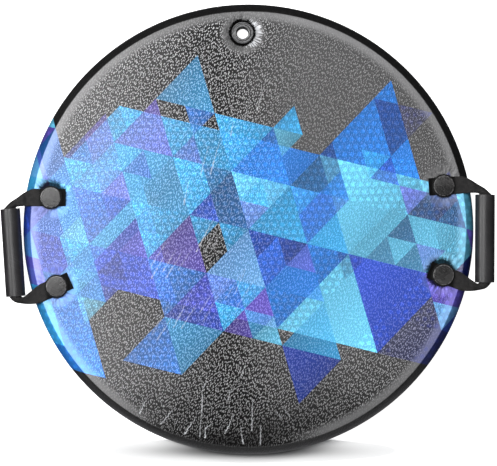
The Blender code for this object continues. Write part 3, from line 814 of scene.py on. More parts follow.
# %% The printed film
def make_film():
    """The printed, embossed film of the top skin."""
    material, shader = open_material("printed_film")
    spot = place()
    grain, patches = film_grain(spot)
    lines = film_creases(spot)
    pleated, lit = film_pleats(spot)
    taut = attribute("taut")
    loose = times_plus(taut, -0.85, 1.0)
    on_top = remap(flat_distance(spot), CREASE_RADIUS - 0.0008, CREASE_RADIUS + 0.0005, 1.0, 0.0)

    print_colour = film_print(spot)
    inked = remap(split(print_colour)["Z"], 0.02, 0.3)
    # On printed film the painted furrow shade is weaker, and weakest on the right
    calm = remap(split(spot)["X"], -0.1, 0.1, -0.48, -0.65)
    stark = times(loose, times_plus(inked, calm, 1.0))
    furrows = remap(grain, 0.3, 0.7, -0.8, 0.1, smooth=False)
    # Painted shade: the furrows, the pleats' valleys and collars, and the side band below the crease
    # at half brightness
    shade = times(times_plus(furrows, stark, 1.0), times(lit, remap(on_top, 0.0, 1.0, 0.5)))
    colour = vector_calc("SCALE", print_colour, shade)

    # Painted sheen: glints on the grain's crowns, a thin sheen on taut film and a veil, added to the
    # colour
    amount, sheet = painted_sheen(spot, inked)
    crowns = times(remap(grain, 0.5, 0.95), stark)
    haze = times_plus(crowns, amount, times(taut, 0.10))
    haze = times_plus(sheet, 0.14, haze)
    haze = times(haze, times(lit, on_top))
    colour = vector_calc("ADD", colour, vector_calc("SCALE", SHEEN_COLOUR, haze))
    # Painted highlights: the lines along the creases and the crescent by the grommet
    pale = calc("MAXIMUM", times(lines, 0.75), grommet_crescent_highlight(spot, lit))
    colour = blend_colours(pale, colour, CREASE_HIGHLIGHT)

    rough = times_plus(taut, 0.1, remap(patches, 0.35, 0.65, 0.22, 0.32))
    height = times_plus(pleated, 0.7, times(grain, loose))
    wire(shader, colour, rough, height, 0.0013)
    shine = times(shade, remap(on_top, 0.0, 1.0, 0.92, 0.22))
    join(shine, shader.inputs["Specular IOR Level"])
    return material


FILM = make_film()


# %% [markdown]
# The skin's shape is turned like the disc, but every point is then moved by what pulls on
# the film. A rivet pulls it down into a round dimple, a strap lies in a shallow bed, and
# short folds run out from both. The rings of points are dense near the rim, where all of
# this is, and the angles are dense at the rivets, the grommet and the creased front.

# %% The skin's line
LINE_STEP = 0.0002
SOFT_REACH = 12
KEPT_ENDS = 40


def bend_line(start, control, end, count):
    """Points of a curve with one control point."""
    t = np.linspace(0, 1, count)[:, None]
    start, control, end = np.array(start), np.array(control), np.array(end)
    return (1 - t) ** 2 * start + 2 * t * (1 - t) * control + t**2 * end


def skin_line():
    """The skin's line from the middle over the crease to the seam, evenly spaced."""
    crown = np.linspace(0, CROWN_RADIUS, 120)
    flat = np.stack([crown, DISC_HEIGHT - CROWN_DROP * (crown / CROWN_RADIUS) ** 2], axis=1)
    crease = (CREASE_RADIUS, CREASE_HEIGHT)
    roll_off = bend_line(flat[-1], (CREASE_RADIUS - 0.016, 0.0374), crease, 90)
    side = bend_line(crease, (DISC_RADIUS - 0.0006, 0.0236), (DISC_RADIUS, SEAM_HEIGHT), 90)
    line = np.concatenate([flat, roll_off[1:], side[1:]])
    lengths = np.concatenate([[0], np.cumsum(np.linalg.norm(np.diff(line, axis=0), axis=1))])
    even = np.arange(0, lengths[-1], LINE_STEP)
    line = np.stack([np.interp(even, lengths, column) for column in line.T], axis=1)
    kernel = np.exp(-((np.arange(-SOFT_REACH, SOFT_REACH + 1) / 4.0) ** 2))
    kernel /= kernel.sum()
    padded = [np.pad(column, SOFT_REACH, mode="edge") for column in line.T]
    smooth = np.stack([np.convolve(column, kernel, "valid") for column in padded], axis=1)
    smooth[:KEPT_ENDS], smooth[-KEPT_ENDS:] = line[:KEPT_ENDS], line[-KEPT_ENDS:]
    return even, smooth


LINE_AT, LINE = skin_line()
CREASE_AT = LINE_AT[np.argmin(distance(LINE, (CREASE_RADIUS, CREASE_HEIGHT)))]
print("skin line", round(LINE_AT[-1] * 1000), "mm long, crease at", round(CREASE_AT * 1000), "mm")

# %% Rings and spokes
SPOKE_COUNT = 1536
# The ring spacing at some radii, beyond the crease and close to it
SPACING = ((0.0, 0.2, 0.238, 0.25), (0.009, 0.004, 0.0018, 0.0012))
SIDE_SPACING = 0.0022
CREASE_SPACING = 0.0006
# Directions in degrees with denser spokes, each with half its span
DENSE_SPOKES = ((0, 21), (180, 21), (90, 8), (262, 26))


def ring_places():
    """Where along the line the rings of points lie."""
    at, places = 0.0, []
    while at < LINE_AT[-1] - 0.0008:
        radius = np.interp(at, LINE_AT, LINE[:, 0])
        step = SIDE_SPACING if radius > CREASE_RADIUS else np.interp(radius, *SPACING)
        at += CREASE_SPACING if abs(at - CREASE_AT) < 0.003 else step
        places.append(at)
    return np.array(places[:-1] + [LINE_AT[-1]])


def spoke_angles():
    """Angles round the disc, closer together where the skin has most relief."""
    fine = np.linspace(0, 2 * math.pi, 7201)
    weight = np.ones_like(fine)
    for centre, half in DENSE_SPOKES:
        off = np.abs((np.degrees(fine) - centre + 180) % 360 - 180)
        weight += 1.2 * np.clip((half + 4 - off) / 4, 0, 1)
    total = np.concatenate([[0], np.cumsum((weight[1:] + weight[:-1]) / 2)])
    return np.interp(np.arange(SPOKE_COUNT) / SPOKE_COUNT * total[-1], total, fine)


SPOKES = spoke_angles()


# %% Folds in the film
def smooth_step(value, low, high):
    """0 below a range, 1 above it, smooth between."""
    t = np.clip((value - low) / (high - low), 0, 1)
    return t * t * (3 - 2 * t)


def fold(points, start, heading, length, width, lift, rng):
    """How far one soft, wandering fold along a line lifts each point."""
    away = points - np.asarray(start)
    along = away @ (math.cos(heading), math.sin(heading))
    across = away @ (-math.sin(heading), math.cos(heading))
    bend, phase = rng.uniform(-0.1, 0.1), rng.uniform(0, 6.28)
    across = across - bend * along**2 / length
    across = across - 0.0006 * np.sin(along / 0.0035 + phase)
    reach = along / length
    taper = np.clip(reach * 7, 0, 1) * np.clip((1 - reach) * 2.2, 0, 1)
    return lift * taper * np.exp(-((across / width) ** 2))


def pleats(points, middle, inner, count, reach, lift, rng, way):
    """Folds that run out from a round fitting, apart from where a strap leaves it."""
    total = np.zeros(len(points))
    for index in range(count):
        angle = 2 * math.pi * (index + rng.uniform(-0.4, 0.4)) / count
        out = np.array((math.cos(angle), math.sin(angle)))
        size = rng.uniform(0.4, 1.0)
        heading = angle + rng.uniform(-0.25, 0.25)
        width = rng.uniform(0.0012, 0.0020)
        height = (1.0 if index % 2 else -0.9) * lift * size
        raised = fold(points, middle + out * inner, heading, reach * size, width, height, rng)
        if out @ way < 0.72:
            total += raised
    return total


# %% Creases and waves
CREASE_FOLDS = ((FRONT_CREASES, 0.0017, 0.0005), (SLANTING_CREASES, 0.0028, 0.0004))


def long_creases(points, rng):
    """The creases in from the front rim, and the slanting ones across the middle."""
    total = np.zeros(len(points))
    for creases, width, lift in CREASE_FOLDS:
        for start, end, strength in creases:
            run = np.subtract(end, start)
            heading = math.atan2(run[1], run[0])
            total += fold(points, start, heading, np.hypot(*run), width, lift * strength, rng)
    return total


def broad_waves(points, rng):
    """The slow unevenness of soft foam."""
    total = np.zeros(len(points))
    for _ in range(14):
        angle, size, phase = rng.uniform(0, math.pi), rng.uniform(0.04, 0.14), rng.uniform(0, 6.28)
        total += np.sin(points @ (math.cos(angle), math.sin(angle)) * 2 * math.pi / size + phase)
    return total * 0.00009


# %% What pulls the skin down
DIMPLE = (0.0192, 0.0325)
GROMMET_DIMPLE = (0.0168, 0.0285)
STRAP_BED = (0.0132, 0.0185)
BED_START = (-0.006, 0.006)
TAUT_RIM = (0.300, 0.312)
TAUT_SIDE = (0.316, 0.3185)
TAUT_FITTING = (0.024, 0.036)
LOOSE_FRONT = (-0.045, -0.31)


def pull(points):
    """How much of the skin's height is left at each point: 0 on a seat, 1 out of reach."""
    left = np.ones(len(points))
    for middle, way in RIVETS.values():
        away = points - middle
        left *= smooth_step(distance(points, middle), *DIMPLE)
        across = np.abs(away @ (-way[1], way[0]))
        out = smooth_step(away @ way, *BED_START)
        left *= 1 - out * (1 - smooth_step(across, *STRAP_BED))
    return left * smooth_step(distance(points, GROMMET), *GROMMET_DIMPLE)


def tautness(points):
    """Where the film is stretched flat: round the fittings and along most of the rim."""
    radii = distance(points, 0.0)
    taut = smooth_step(radii, *TAUT_RIM) * smooth_step(distance(points, LOOSE_FRONT), 0.09, 0.16)
    taut = np.maximum(taut, smooth_step(radii, *TAUT_SIDE))
    for middle, near in fittings(TAUT_FITTING, TAUT_FITTING):
        taut = np.maximum(taut, 1 - smooth_step(distance(points, middle), *near))
    return taut


def skin_relief(points, heights):
    """The skin's height with its dimples, pleats and creases."""
    rng = random.Random(41)
    free = pull(points)
    relief = np.zeros(len(points))
    for key, (middle, way) in RIVETS.items():
        strong = 1.5 if key in TIGHT_RIVETS else 0.7
        relief += pleats(points, middle, 0.0185, 24, 0.032, 0.0008 * strong, rng, way)
    relief += pleats(points, GROMMET, 0.0170, 26, 0.022, 0.0006, rng, np.zeros(2))
    creases = long_creases(points, rng)
    top = smooth_step(heights, CREASE_HEIGHT - 0.004, CREASE_HEIGHT + 0.0008)
    above = np.maximum(heights - SEAT_HEIGHT, 0)
    extra = relief * np.maximum(smooth_step(free, 0.0, 0.3), 0.25) + creases
    return heights - above * (1 - free) + (extra + broad_waves(points, rng)) * top


# %% [markdown]
# The rings are joined by quads. Where the disc gets smaller, each ring has half the
# points of the next one out, so the middle isn't crowded. A flat sheet needs few rings
# there, but one between any two halvings, since rings can only be joined where they have
# equal counts or one has twice the other's. Holes are opened under the washers and in the
# grommet by leaving out the faces there and pulling the edge of what is left onto a
# circle. A hem turned in at the seam shows the film's thickness.

# %% Join rings of points
HALVINGS = ((0.012, 32), (0.025, 16), (0.05, 8), (0.10, 4), (0.20, 2))
SPARSE_RINGS = (0.01, 0.02, 0.04, 0.08, 0.15)


def ring_count(radius, most):
    """How many points a ring has, out of the most that the outer ones have."""
    return next((most // share for limit, share in HALVINGS if radius < limit), most)


def ring_faces(inner, outer):
    """Faces between two rings of equal points, or with twice as many outside."""
    count = len(inner)
    assert len(outer) in (count, 2 * count)
    faces = []
    for i in range(count):
        j = (i + 1) % count
        if len(outer) == count:
            faces.append((inner[i], outer[i], outer[j], inner[j]))
            continue
        left, mid, right = outer[2 * i], outer[2 * i + 1], outer[(2 * i + 2) % len(outer)]
        faces += [(inner[i], left, mid), (inner[i], mid, inner[j]), (inner[j], mid, right)]
    return faces


def even_spokes(count):
    """Angles at equal steps round the disc."""
    return np.arange(count) * 2 * math.pi / count


def disc_grid(radii, heights, angles):
    """Points and faces of a disc with rings at radii, from its middle point outwards."""
    flat, tall, rings = [np.zeros((1, 2))], [[heights[0]]], []
    start = 1
    for radius, height in zip(radii, heights):
        count = ring_count(radius, len(angles))
        spokes = angles[:: len(angles) // count]
        flat.append(radius * np.stack([np.cos(spokes), np.sin(spokes)], axis=1))
        tall.append(np.full(count, height))
        rings.append(list(range(start, start + count)))
        start += count
    first = rings[0]
    faces = [(0, first[i], first[(i + 1) % len(first)]) for i in range(len(first))]
    for inner, outer in zip(rings, rings[1:]):
        faces += ring_faces(inner, outer)
    return np.concatenate(flat), np.concatenate(tall), faces


# %% Open the holes
def open_holes(points, faces, holes):
    """Leave out the faces over each hole, and draw the edge that is left onto its rim."""
    kept = faces
    for middle, radius in holes:
        inside = set(np.flatnonzero(distance(points[:, :2], middle) < radius))
        cut = [face for face in kept if not inside.isdisjoint(face)]
        kept = [face for face in kept if inside.isdisjoint(face)]
        rim = {i for face in cut for i in face} - inside
        for i in rim:
            way = points[i, :2] - middle
            points[i, :2] = middle + way / np.linalg.norm(way) * radius
    used = sorted({i for face in kept for i in face})
    new_index = {old: new for new, old in enumerate(used)}
    return used, [[new_index[i] for i in face] for face in kept]


# %% The skin piece
HEM = ((DISC_RADIUS - 0.0008, SEAM_HEIGHT), (DISC_RADIUS - 0.0011, SEAM_HEIGHT + 0.002))


def make_skin():
    """The printed skin with its dimples, beds and creases."""
    places = ring_places()
    line = [np.interp(places, LINE_AT, column) for column in LINE.T]
    radii, heights = (np.append(*pair) for pair in zip(line, zip(*HEM)))
    flat, tall, faces = disc_grid(radii, heights, SPOKES)
    points = np.column_stack([flat, skin_relief(flat, tall)])
    taut = tautness(flat)
    used, faces = open_holes(points, faces, fittings(POST_HOLE, GROMMET_HOLE))
    skin = add_mesh("sled_skin", points[used], faces, FILM, {"taut": taut[used]}, sharp=75)
    seat(skin, "disc", "printed_skin", "top_skin")


make_skin()


# %% [markdown]
# ## The foam
# The foam is white closed-cell polyethylene, cut from a block, so its surface shows cut
# cells. The film hides all of it. It is shaped by the same pull as the skin, 1.5 mm under
# it, so that it follows the skin's dimples wherever a model of it is cut open.

# %% Foam material
def make_foam_material():
    """White closed-cell foam."""
    material, shader = open_material("closed_cell_foam")
    cells = use(GRAIN, Position_Vector=place(), Size=0.0016, Unevenness=0.9)
    shade = remap(cells["Height"], 0.2, 0.8)
    colour = blend_colours(shade, (0.55, 0.55, 0.53, 1.0), (0.8, 0.8, 0.78, 1.0))
    rough = remap(cells["Patches"], 0.3, 0.7, 0.85, 0.95)
    wire(shader, colour, rough, cells["Height"], 0.0004)
    return material


FOAM = make_foam_material()

# %% The foam piece
FOAM_SPOKES = 512
FOAM_INSET = SHEET_THICKNESS + GAP
FOAM_FLAT_RINGS = (*SPARSE_RINGS, 0.2, 0.25, 0.26, 0.27, 0.28, 0.29, 0.30, 0.307)
FOAM_TURN_UP = ((0.318, 0.0045), (0.325, 0.007), (0.3283, 0.0095))
FOAM_BOTTOM = 0.0033


def foam_top(angles):
    """The foam's upper face, which follows the skin."""
    at = np.append(np.arange(0.006, CREASE_AT, 0.004), CREASE_AT + np.array((0, 0.008, 0.016)))
    radii, heights = (np.interp(at, LINE_AT, column) for column in LINE.T)
    flat, tall, faces = disc_grid(radii, heights, angles)
    tall = tall - np.maximum(tall - SEAT_HEIGHT, 0) * (1 - pull(flat)) - FOAM_INSET
    return np.column_stack([flat * (1 - FOAM_INSET / DISC_RADIUS), tall]), faces


def make_foam():
    """The foam core between the skin and the base."""
    angles = even_spokes(FOAM_SPOKES)
    top, faces = foam_top(angles)
    bottom = [(radius, FOAM_BOTTOM) for radius in FOAM_FLAT_RINGS]
    low_flat, low_tall, low_faces = disc_grid(*np.transpose([*bottom, *FOAM_TURN_UP]), angles)
    low = np.column_stack([low_flat, low_tall])
    shift = len(top)
    faces += [tuple(i + shift for i in reversed(face)) for face in low_faces]
    for i in range(FOAM_SPOKES):
        here, there = i - FOAM_SPOKES, (i + 1) % FOAM_SPOKES - FOAM_SPOKES
        ends = shift + len(low)
        faces.append((shift + here, ends + here, ends + there, shift + there))
    points = np.vstack([top, low])
    used, faces = open_holes(points, faces, [(GROMMET, GROMMET_HOLE)])
    foam = add_mesh("foam_block", points[used], faces, FOAM)
    seat(foam, "disc", "white_foam", "foam_core")


make_foam()


# %% [markdown]
# ## Plastics
# All the plastic parts have a fine grain, haze and scratches, so one maker serves them
# all, with a colour, sheen and grain for each. The base is a slick polyethylene sheet. It
# scratches easily, so scratches and haze are most of its look. The rivets' caps are
# moulded in dark plastic with a fine matte texture, and their edge catches the light as a
# thin ring. The washer under each cap is softer and darker. The grommet is one glossy
# moulding.

# %% Plastic materials
USUAL_FINISH = {"uneven": 0.4, "amount": 0.5, "dent": -0.5}
SLICK_FINISH = {"rubbed": False, "uneven": 0.5, "amount": 0.9, "dent": -0.6}


def plastic(name, colour, roughness, worn, size, depth, shine=0.5, rubbed=True, **finish):
    """A plastic part's material, with grain, haze, scratches and rubbed edges."""
    material, shader = open_material(name)
    spot = place()
    uneven, amount, dent = (finish.get(key, usual) for key, usual in USUAL_FINISH.items())
    edges = {"Edge": attribute("rim")} if rubbed else {}
    grain = use(GRAIN, Position_Vector=spot, Size=size, Unevenness=uneven)
    colours = {"Base_Colour": (*colour, 1.0), "Worn_Colour": (*worn, 1.0)}
    wear = use(WEAR, Position_Vector=spot, Roughness=roughness, Amount=amount, **colours, **edges)
    shader.inputs["Specular IOR Level"].default_value = shine
    height = times_plus(wear["Scratches"], dent, grain["Height"])
    wire(shader, wear["Colour"], wear["Roughness"], height, depth)
    return material


SLICK_COLOURS = (0.016, 0.016, 0.018), 0.34, (0.16, 0.16, 0.17)
CAP_COLOURS = (0.006, 0.0055, 0.0055), 0.27, (0.30, 0.29, 0.29)
WASHER_COLOURS = (0.002, 0.002, 0.002), 0.6, (0.012, 0.012, 0.012)
GROMMET_COLOURS = (0.03, 0.03, 0.031), 0.3, (0.2, 0.2, 0.21)
GRIP_COLOURS = (0.013, 0.012, 0.013), 0.38, (0.12, 0.12, 0.12)
SLICK_SHEET = plastic("slick_polyethylene", *SLICK_COLOURS, 0.0009, 0.00003, **SLICK_FINISH)
CAP_PLASTIC = plastic("cap_plastic", *CAP_COLOURS, 0.0015, 0.00012, 0.32)
STUD_PLASTIC = plastic("stud_plastic", (0.03, 0.03, 0.032), 0.4, (0.2,) * 3, 0.0008, 0.00004)
WASHER_RUBBER = plastic("washer_rubber", *WASHER_COLOURS, 0.0005, 0.00003, 0.12)
GROMMET_PLASTIC = plastic("grommet_plastic", *GROMMET_COLOURS, 0.001, 0.00003)
GRIP_PLASTIC = plastic("grip_plastic", *GRIP_COLOURS, 0.0011, 0.00006, 0.4)
print("materials:", ", ".join(material.name for material in bpy.data.materials))

# %% [markdown]
# ## The base
# The base is turned up at the rim to meet the skin at the seam. Its pockets hold the
# rivets' heads and the grommet's rolled end. They are pressed up from a flat sheet, so
# the sheet's own rings of points are pushed up there.

# %% The base piece
BASE_SPOKES = 1024
POCKET_HEIGHT = 0.0028
POCKET_SLOPE = 0.002
RIVET_POCKET, GROMMET_POCKET = 0.016, 0.017


def base_line():
    """The base's outer line: its radii and heights, from the middle out to the seam."""
    rim = SEAM_HEIGHT - GAP
    turn_up = DISC_RADIUS - BASE_FLAT_RADIUS
    inner = np.array([*SPARSE_RINGS, 0.2, 0.236, *np.arange(0.238, BASE_FLAT_RADIUS, 0.0015)])
    angle = np.linspace(math.pi / 2, 0, 25)
    radii = [inner, BASE_FLAT_RADIUS + turn_up * np.cos(angle), [DISC_RADIUS - SHEET_THICKNESS]]
    heights = [np.zeros(len(inner)), rim * (1 - np.sin(angle)), [rim]]
    return np.concatenate(radii), np.concatenate(heights)


def make_base():
    """The slick base with a pocket under each rivet and under the grommet."""
    flat, tall, faces = disc_grid(*base_line(), even_spokes(BASE_SPOKES))
    for middle, head in fittings(RIVET_POCKET, GROMMET_POCKET):
        out = smooth_step(distance(flat, middle), head, head + POCKET_SLOPE)
        tall = np.maximum(tall, POCKET_HEIGHT * (1 - out))
    points = np.column_stack([flat, tall])
    faces = [tuple(reversed(face)) for face in faces]
    used, faces = open_holes(points, faces, [(GROMMET, GROMMET_HOLE)])
    base = add_mesh("sled_base", points[used], faces, SLICK_SHEET, sharp=50)
    seat(base, "disc", "slick_sheet", "slick_base")


make_base()


# %% [markdown]
# ## Rivets and grommet
# A rivet is a stud from below, with a broad head in the base's pocket and a post, and a
# domed cap pressed on it from above. The washer between the cap and the strap shows as a
# dark ring. The grommet has a raised lip round its bore and another round its flange, and
# its barrel is rolled over a ring at the back. Each is a line of a few points.

# %% Rivets
CAP_TOP = 0.0401
CAP_DOME = [(r, CAP_TOP - 0.0003 * (r / 0.015) ** 2) for r in (0.0, 0.003, 0.006, 0.009, 0.012, 0.015)]
CAP_LINE = (*CAP_DOME, (0.015, 0.0366), (0.0, 0.0366))
WASHER_LINE = ((0.0045, 0.0363), (0.017, 0.0363), (0.017, 0.0353), (0.0045, 0.0353))
STUD_LINE = (
    (0.0, 0.0386),
    (0.004, 0.0386),
    (0.004, 0.0025),
    (0.015, 0.0025),
    (0.015, 0.0005),
    (0.0, 0.0005),
)
# Name, slot and node, line, bend at its edges, steps, material, closed, points in a bend
RIVET_PARTS = (
    ("cap", "cap_plastic", "rivet_cap", CAP_LINE, 0.0009, 96, CAP_PLASTIC, False, 5),
    ("washer", "washer_rubber", "strap_washer", WASHER_LINE, 0.0003, 96, WASHER_RUBBER, True, 3),
    ("stud", "stud_plastic", "rivet_stud", STUD_LINE, 0.0006, 64, STUD_PLASTIC, False, 3),
)
for (side, level), (middle, _) in RIVETS.items():
    for *names, line, bend, steps, material, closed, bends in RIVET_PARTS:
        names = [f"{side}_{level}_{name}" for name in names]
        fitting(*names, line, bend, steps, material, middle, closed, bends)

# %% Grommet
FLANGE_BOTTOM = SEAT_HEIGHT + GAP
FLANGE_TOP = (
    (0.0085, 0.0016),
    (0.0096, 0.0028),
    (0.0112, 0.0028),
    (0.0124, 0.0012),
    (0.0139, 0.0012),
    (0.0147, 0.0026),
    (0.0156, 0.0024),
    (0.016, 0.001),
    (0.016, 0.0),
    (0.0105, 0.0),
)
BARREL = ((0.0105, 0.0011), (0.012, 0.0011), (0.012, 0.0005), (0.0085, 0.0005))
GROMMET_LINE = (*((radius, FLANGE_BOTTOM + rise) for radius, rise in FLANGE_TOP), *BARREL)
RING_LINE = ((0.0108, 0.0026), (0.016, 0.0026), (0.016, 0.0014), (0.0108, 0.0014))
FRONT_NAMES = ("tow_grommet", "grommet_plastic", "grommet_front")
BACK_NAMES = ("tow_grommet_back", "ring_plastic", "grommet_back_ring")
fitting(*FRONT_NAMES, GROMMET_LINE, 0.0006, 128, GROMMET_PLASTIC, GROMMET, closed=True)
fitting(*BACK_NAMES, RING_LINE, 0.0003, 96, GROMMET_PLASTIC, GROMMET, closed=True)


# %% [markdown]
# ## Webbing
# Each handle is one strap of 25 mm webbing. From its riveted, square-cut end it lies flat
# across the rim, bends down into the mouth of the grip tube, runs through it curled into
# a C, and comes back the same way. One ribbon mesh follows the whole route. Its two edges
# are drawn as curves, and where they come closer together than the webbing is wide, its
# section bulges up into an arc of the right length. The weave is drawn along the strap:
# the mesh carries metres across and along it, from 0 at one tail to STRAP_RUN at the
# other. The tails under the washers are painted darker and less glossy than the rest, as
# painted shade of the washers and caps.

# %% Weave material
STRAP_RUN = 0.303
RIB_WIDTH = 0.00125
YARN_LENGTH = 0.0019
# How far from each end the painted shade of the washers reaches
SHADED_TAIL = (0.035, 0.042)


def make_webbing():
    """Black woven webbing: ribs along it, crossed by yarns that go over and under."""
    material, shader = open_material("black_webbing")
    given = add("UVMap", uv_map="weave").outputs["UV"]
    parts = split(given)
    across = calc("DIVIDE", parts["X"], RIB_WIDTH)
    over = calc("ADD", calc("DIVIDE", parts["Y"], YARN_LENGTH), stagger(across))
    ways = [times(calc("FRACT", part), math.pi) for part in (across, over)]
    round_across, round_along = (calc("SINE", way) for way in ways)
    yarn = times(round_across, times_plus(round_along, 0.7, 0.3))
    fuzz = noise(given, 5200.0)
    worn = remap(noise(given, 160.0, 3.0), 0.35, 0.65, 0.35, 1.1)
    tail = calc("MINIMUM", parts["Y"], calc("SUBTRACT", STRAP_RUN, parts["Y"]))
    # Painted shade: the tails under the washers are darker and duller
    tail_shade = remap(tail, *SHADED_TAIL, 0.25, 1.0)
    shade = times(times_plus(fuzz, 0.5, yarn), worn, tail_shade)
    colour = blend_colours(shade, (0.002, 0.002, 0.002, 1.0), (0.017, 0.0155, 0.0155, 1.0))
    wire(shader, colour, remap(yarn, 0.0, 1.0, 0.85, 0.58), times_plus(fuzz, 0.2, yarn), 0.00025)
    join(times(tail_shade, 0.3), shader.inputs["Specular IOR Level"])
    join(times(tail_shade, 0.04), shader.inputs["Sheen Weight"])
    shader.inputs["Sheen Roughness"].default_value = 0.4
    return material


WEBBING = make_webbing()

# %% How the two ends of a strap run
MOUTH_CLEARANCE = 0.0006
CURL_CENTRE = GRIP_BORE - GAP - STRAP_THICKNESS / 2
CURL_RADIUS = 0.84 * CURL_CENTRE
BUNCHING = 0.28
CORNER_DIP = 0.004
LEVEL_SHARE = 0.35
TAIL = -0.0215
FLAT_FROM = -0.0173
TAIL_SLOPE = 0.52
TAB_STEPS, CORNER_STEPS, INSIDE_STEPS = 26, 34, 12
# The reach of the inner edge and how it leaves, and the same of the outer edge
CORNERS = {
    "upper": (0.014, (-0.001, 0.004), 0.016, (-0.016, 0.009)),
    "lower": (0.011, (-0.002, -0.006), 0.010, (-0.010, -0.014)),
}


def edges_at_fold(level):
    """Where a strap's two edges cross the fold line, the grip's side first."""
    end, lean = ENDS[level], LEANS[level]
    middle = end * RIVET_V + FOLD_REACH * math.tan(lean)
    half = STRAP_WIDTH / 2 / math.cos(lean)
    return middle - end * half, middle + end * half


def grip_end(level):
    """How far along v the grip's upper or lower end lies."""
    top = edges_at_fold("upper")[0] - 0.00125
    return top if level == "upper" else top - GRIP_LENGTH


# %% The strap's edges
def tab_edges(level):
    """The two edges of a riveted end, from its square cut to the fold line."""
    end, lean = ENDS[level], LEANS[level]
    way = Vector((math.cos(lean), math.sin(lean), 0))
    side_way = Vector((-math.sin(lean), math.cos(lean), 0)) * end
    rivet = Vector((-FOLD_REACH, end * RIVET_V, -STRAP_THICKNESS / 2))
    rows = []
    for step in range(TAB_STEPS):
        pair = []
        for sign in (-1, 1):
            edge = side_way * (sign * STRAP_WIDTH / 2)
            last = (FOLD_REACH - edge.x) / way.x
            reach = TAIL + (last - TAIL) * step / TAB_STEPS
            point = rivet + way * reach + edge
            point.z += max(0.0, FLAT_FROM - reach) * TAIL_SLOPE
            pair.append(point)
        rows.append((*pair, STRAP_WIDTH))
    return rows


def curve_at(start, first, last, end, t):
    """A point on a curve with two control points."""
    return start * (1 - t) ** 3 + first * 3 * t * (1 - t) ** 2 + last * 3 * t**2 * (1 - t) + end * t**3


def corner_edges(level):
    """The two edges from the fold line to the mouth of the grip, and the width between."""
    end, lean = ENDS[level], LEANS[level]
    inner_reach, inner_leave, outer_reach, outer_leave = CORNERS[level]
    way = Vector((math.cos(lean), math.sin(lean), 0))
    level_height = -STRAP_THICKNESS / 2
    starts = [Vector((0, v, 0)) for v in edges_at_fold(level)]
    angle = STRAP_WIDTH / CURL_RADIUS
    half = CURL_RADIUS * math.sin(angle / 2)
    mouth_height = CURL_CENTRE - CURL_RADIUS * (1 - math.cos(angle / 2)) - GRIP_DROP
    mouth_v = grip_end(level) + end * MOUTH_CLEARANCE
    ends = [Vector((u, mouth_v, 0)) for u in (GRIP_U - half, GRIP_U + half)]
    fold_width = STRAP_WIDTH / math.cos(lean)
    reaches = [way * reach for reach in (inner_reach, outer_reach)]
    leaves = [Vector((*leave, 0)) for leave in (inner_leave, outer_leave)]
    sides = list(zip(starts, reaches, leaves, ends))
    rows = []
    for step in range(CORNER_STEPS + 1):
        t = step / CORNER_STEPS
        inner, outer = (curve_at(s, s + reach, e + leave, e, t) for s, reach, leave, e in sides)
        late = max(0.0, (t - LEVEL_SHARE) / (1 - LEVEL_SHARE))
        ease = late * late * (3 - 2 * late)
        inner.z = level_height + (mouth_height - level_height) * ease
        outer.z = inner.z - CORNER_DIP * math.sin(math.pi * late) ** 2
        spare = 1 - BUNCHING * math.sin(math.pi * t) ** 2
        rows.append((inner, outer, (fold_width + (STRAP_WIDTH - fold_width) * t) * spare))
    return rows


def strap_rows():
    """The strap's edges along its whole route, from the upper tail to the lower one."""
    upper, lower = (tab_edges(level) + corner_edges(level) for level in ENDS)
    first, last = upper[-1], lower[-1]
    inside = []
    for step in range(1, INSIDE_STEPS):
        pair = [a.lerp(b, step / INSIDE_STEPS) for a, b in zip(first[:2], last[:2])]
        inside.append((*pair, STRAP_WIDTH))
    return upper + inside + lower[::-1]


# %% One section of the strap
COLUMNS = 16
RING_COUNT = 2 * (COLUMNS + 1) + 2
EDGE_BULGE = 0.0002
EDGE_THINNING = 0.4


def arc_angle(chord, length):
    """How far an arc of a given length bends round to span a chord."""
    if chord >= length * 0.9999:
        return 0.0
    low, high = 0.0, 2 * math.pi
    for _ in range(40):
        middle = (low + high) / 2
        wider = 2 * math.sin(middle / 2) / middle * length > chord
        low, high = (middle, high) if wider else (low, middle)
    return (low + high) / 2


def strap_section(inner, outer, along, length):
    """A closed ring of points round the webbing, with rounded edges."""
    across = outer - inner
    chord = across.length
    across.normalize()
    up = across.cross(along).normalized()
    up = -up if up.z < 0 else up
    angle = arc_angle(chord, length)
    centre = (inner + outer) / 2
    top, low, ends = [], [], []
    for column in range(COLUMNS + 1):
        share = column / COLUMNS - 0.5
        middle, way, out = centre + across * chord * share, across, up
        if angle > 0.02:
            radius = chord / 2 / math.sin(angle / 2)
            turn = share * angle
            rise = radius * (math.cos(turn) - math.cos(angle / 2))
            middle = centre + across * radius * math.sin(turn) + up * rise
            out = up * math.cos(turn) + across * math.sin(turn)
            way = across * math.cos(turn) - up * math.sin(turn)
        edge = max(0.0, abs(share) * 2 - 1 + 2 / COLUMNS) * COLUMNS / 2
        half = STRAP_THICKNESS / 2 * (1 - EDGE_THINNING * edge)
        top.append(middle + out * half)
        low.append(middle - out * half)
        if column in (0, COLUMNS):
            ends.append(middle + way * math.copysign(EDGE_BULGE, share))
    return top + [ends[1]] + low[::-1] + [ends[0]]


# %% The whole strap
def strap_faces(last):
    """Faces between the sections of a strap, with a cap on each end."""
    faces = []
    for row in range(last):
        a, b = row * RING_COUNT, (row + 1) * RING_COUNT
        for i in range(RING_COUNT):
            j = (i + 1) % RING_COUNT
            faces.append((a + i, a + j, b + j, b + i))
    ring = range(RING_COUNT)
    return faces + [tuple(ring)[::-1], tuple(last * RING_COUNT + i for i in ring)]


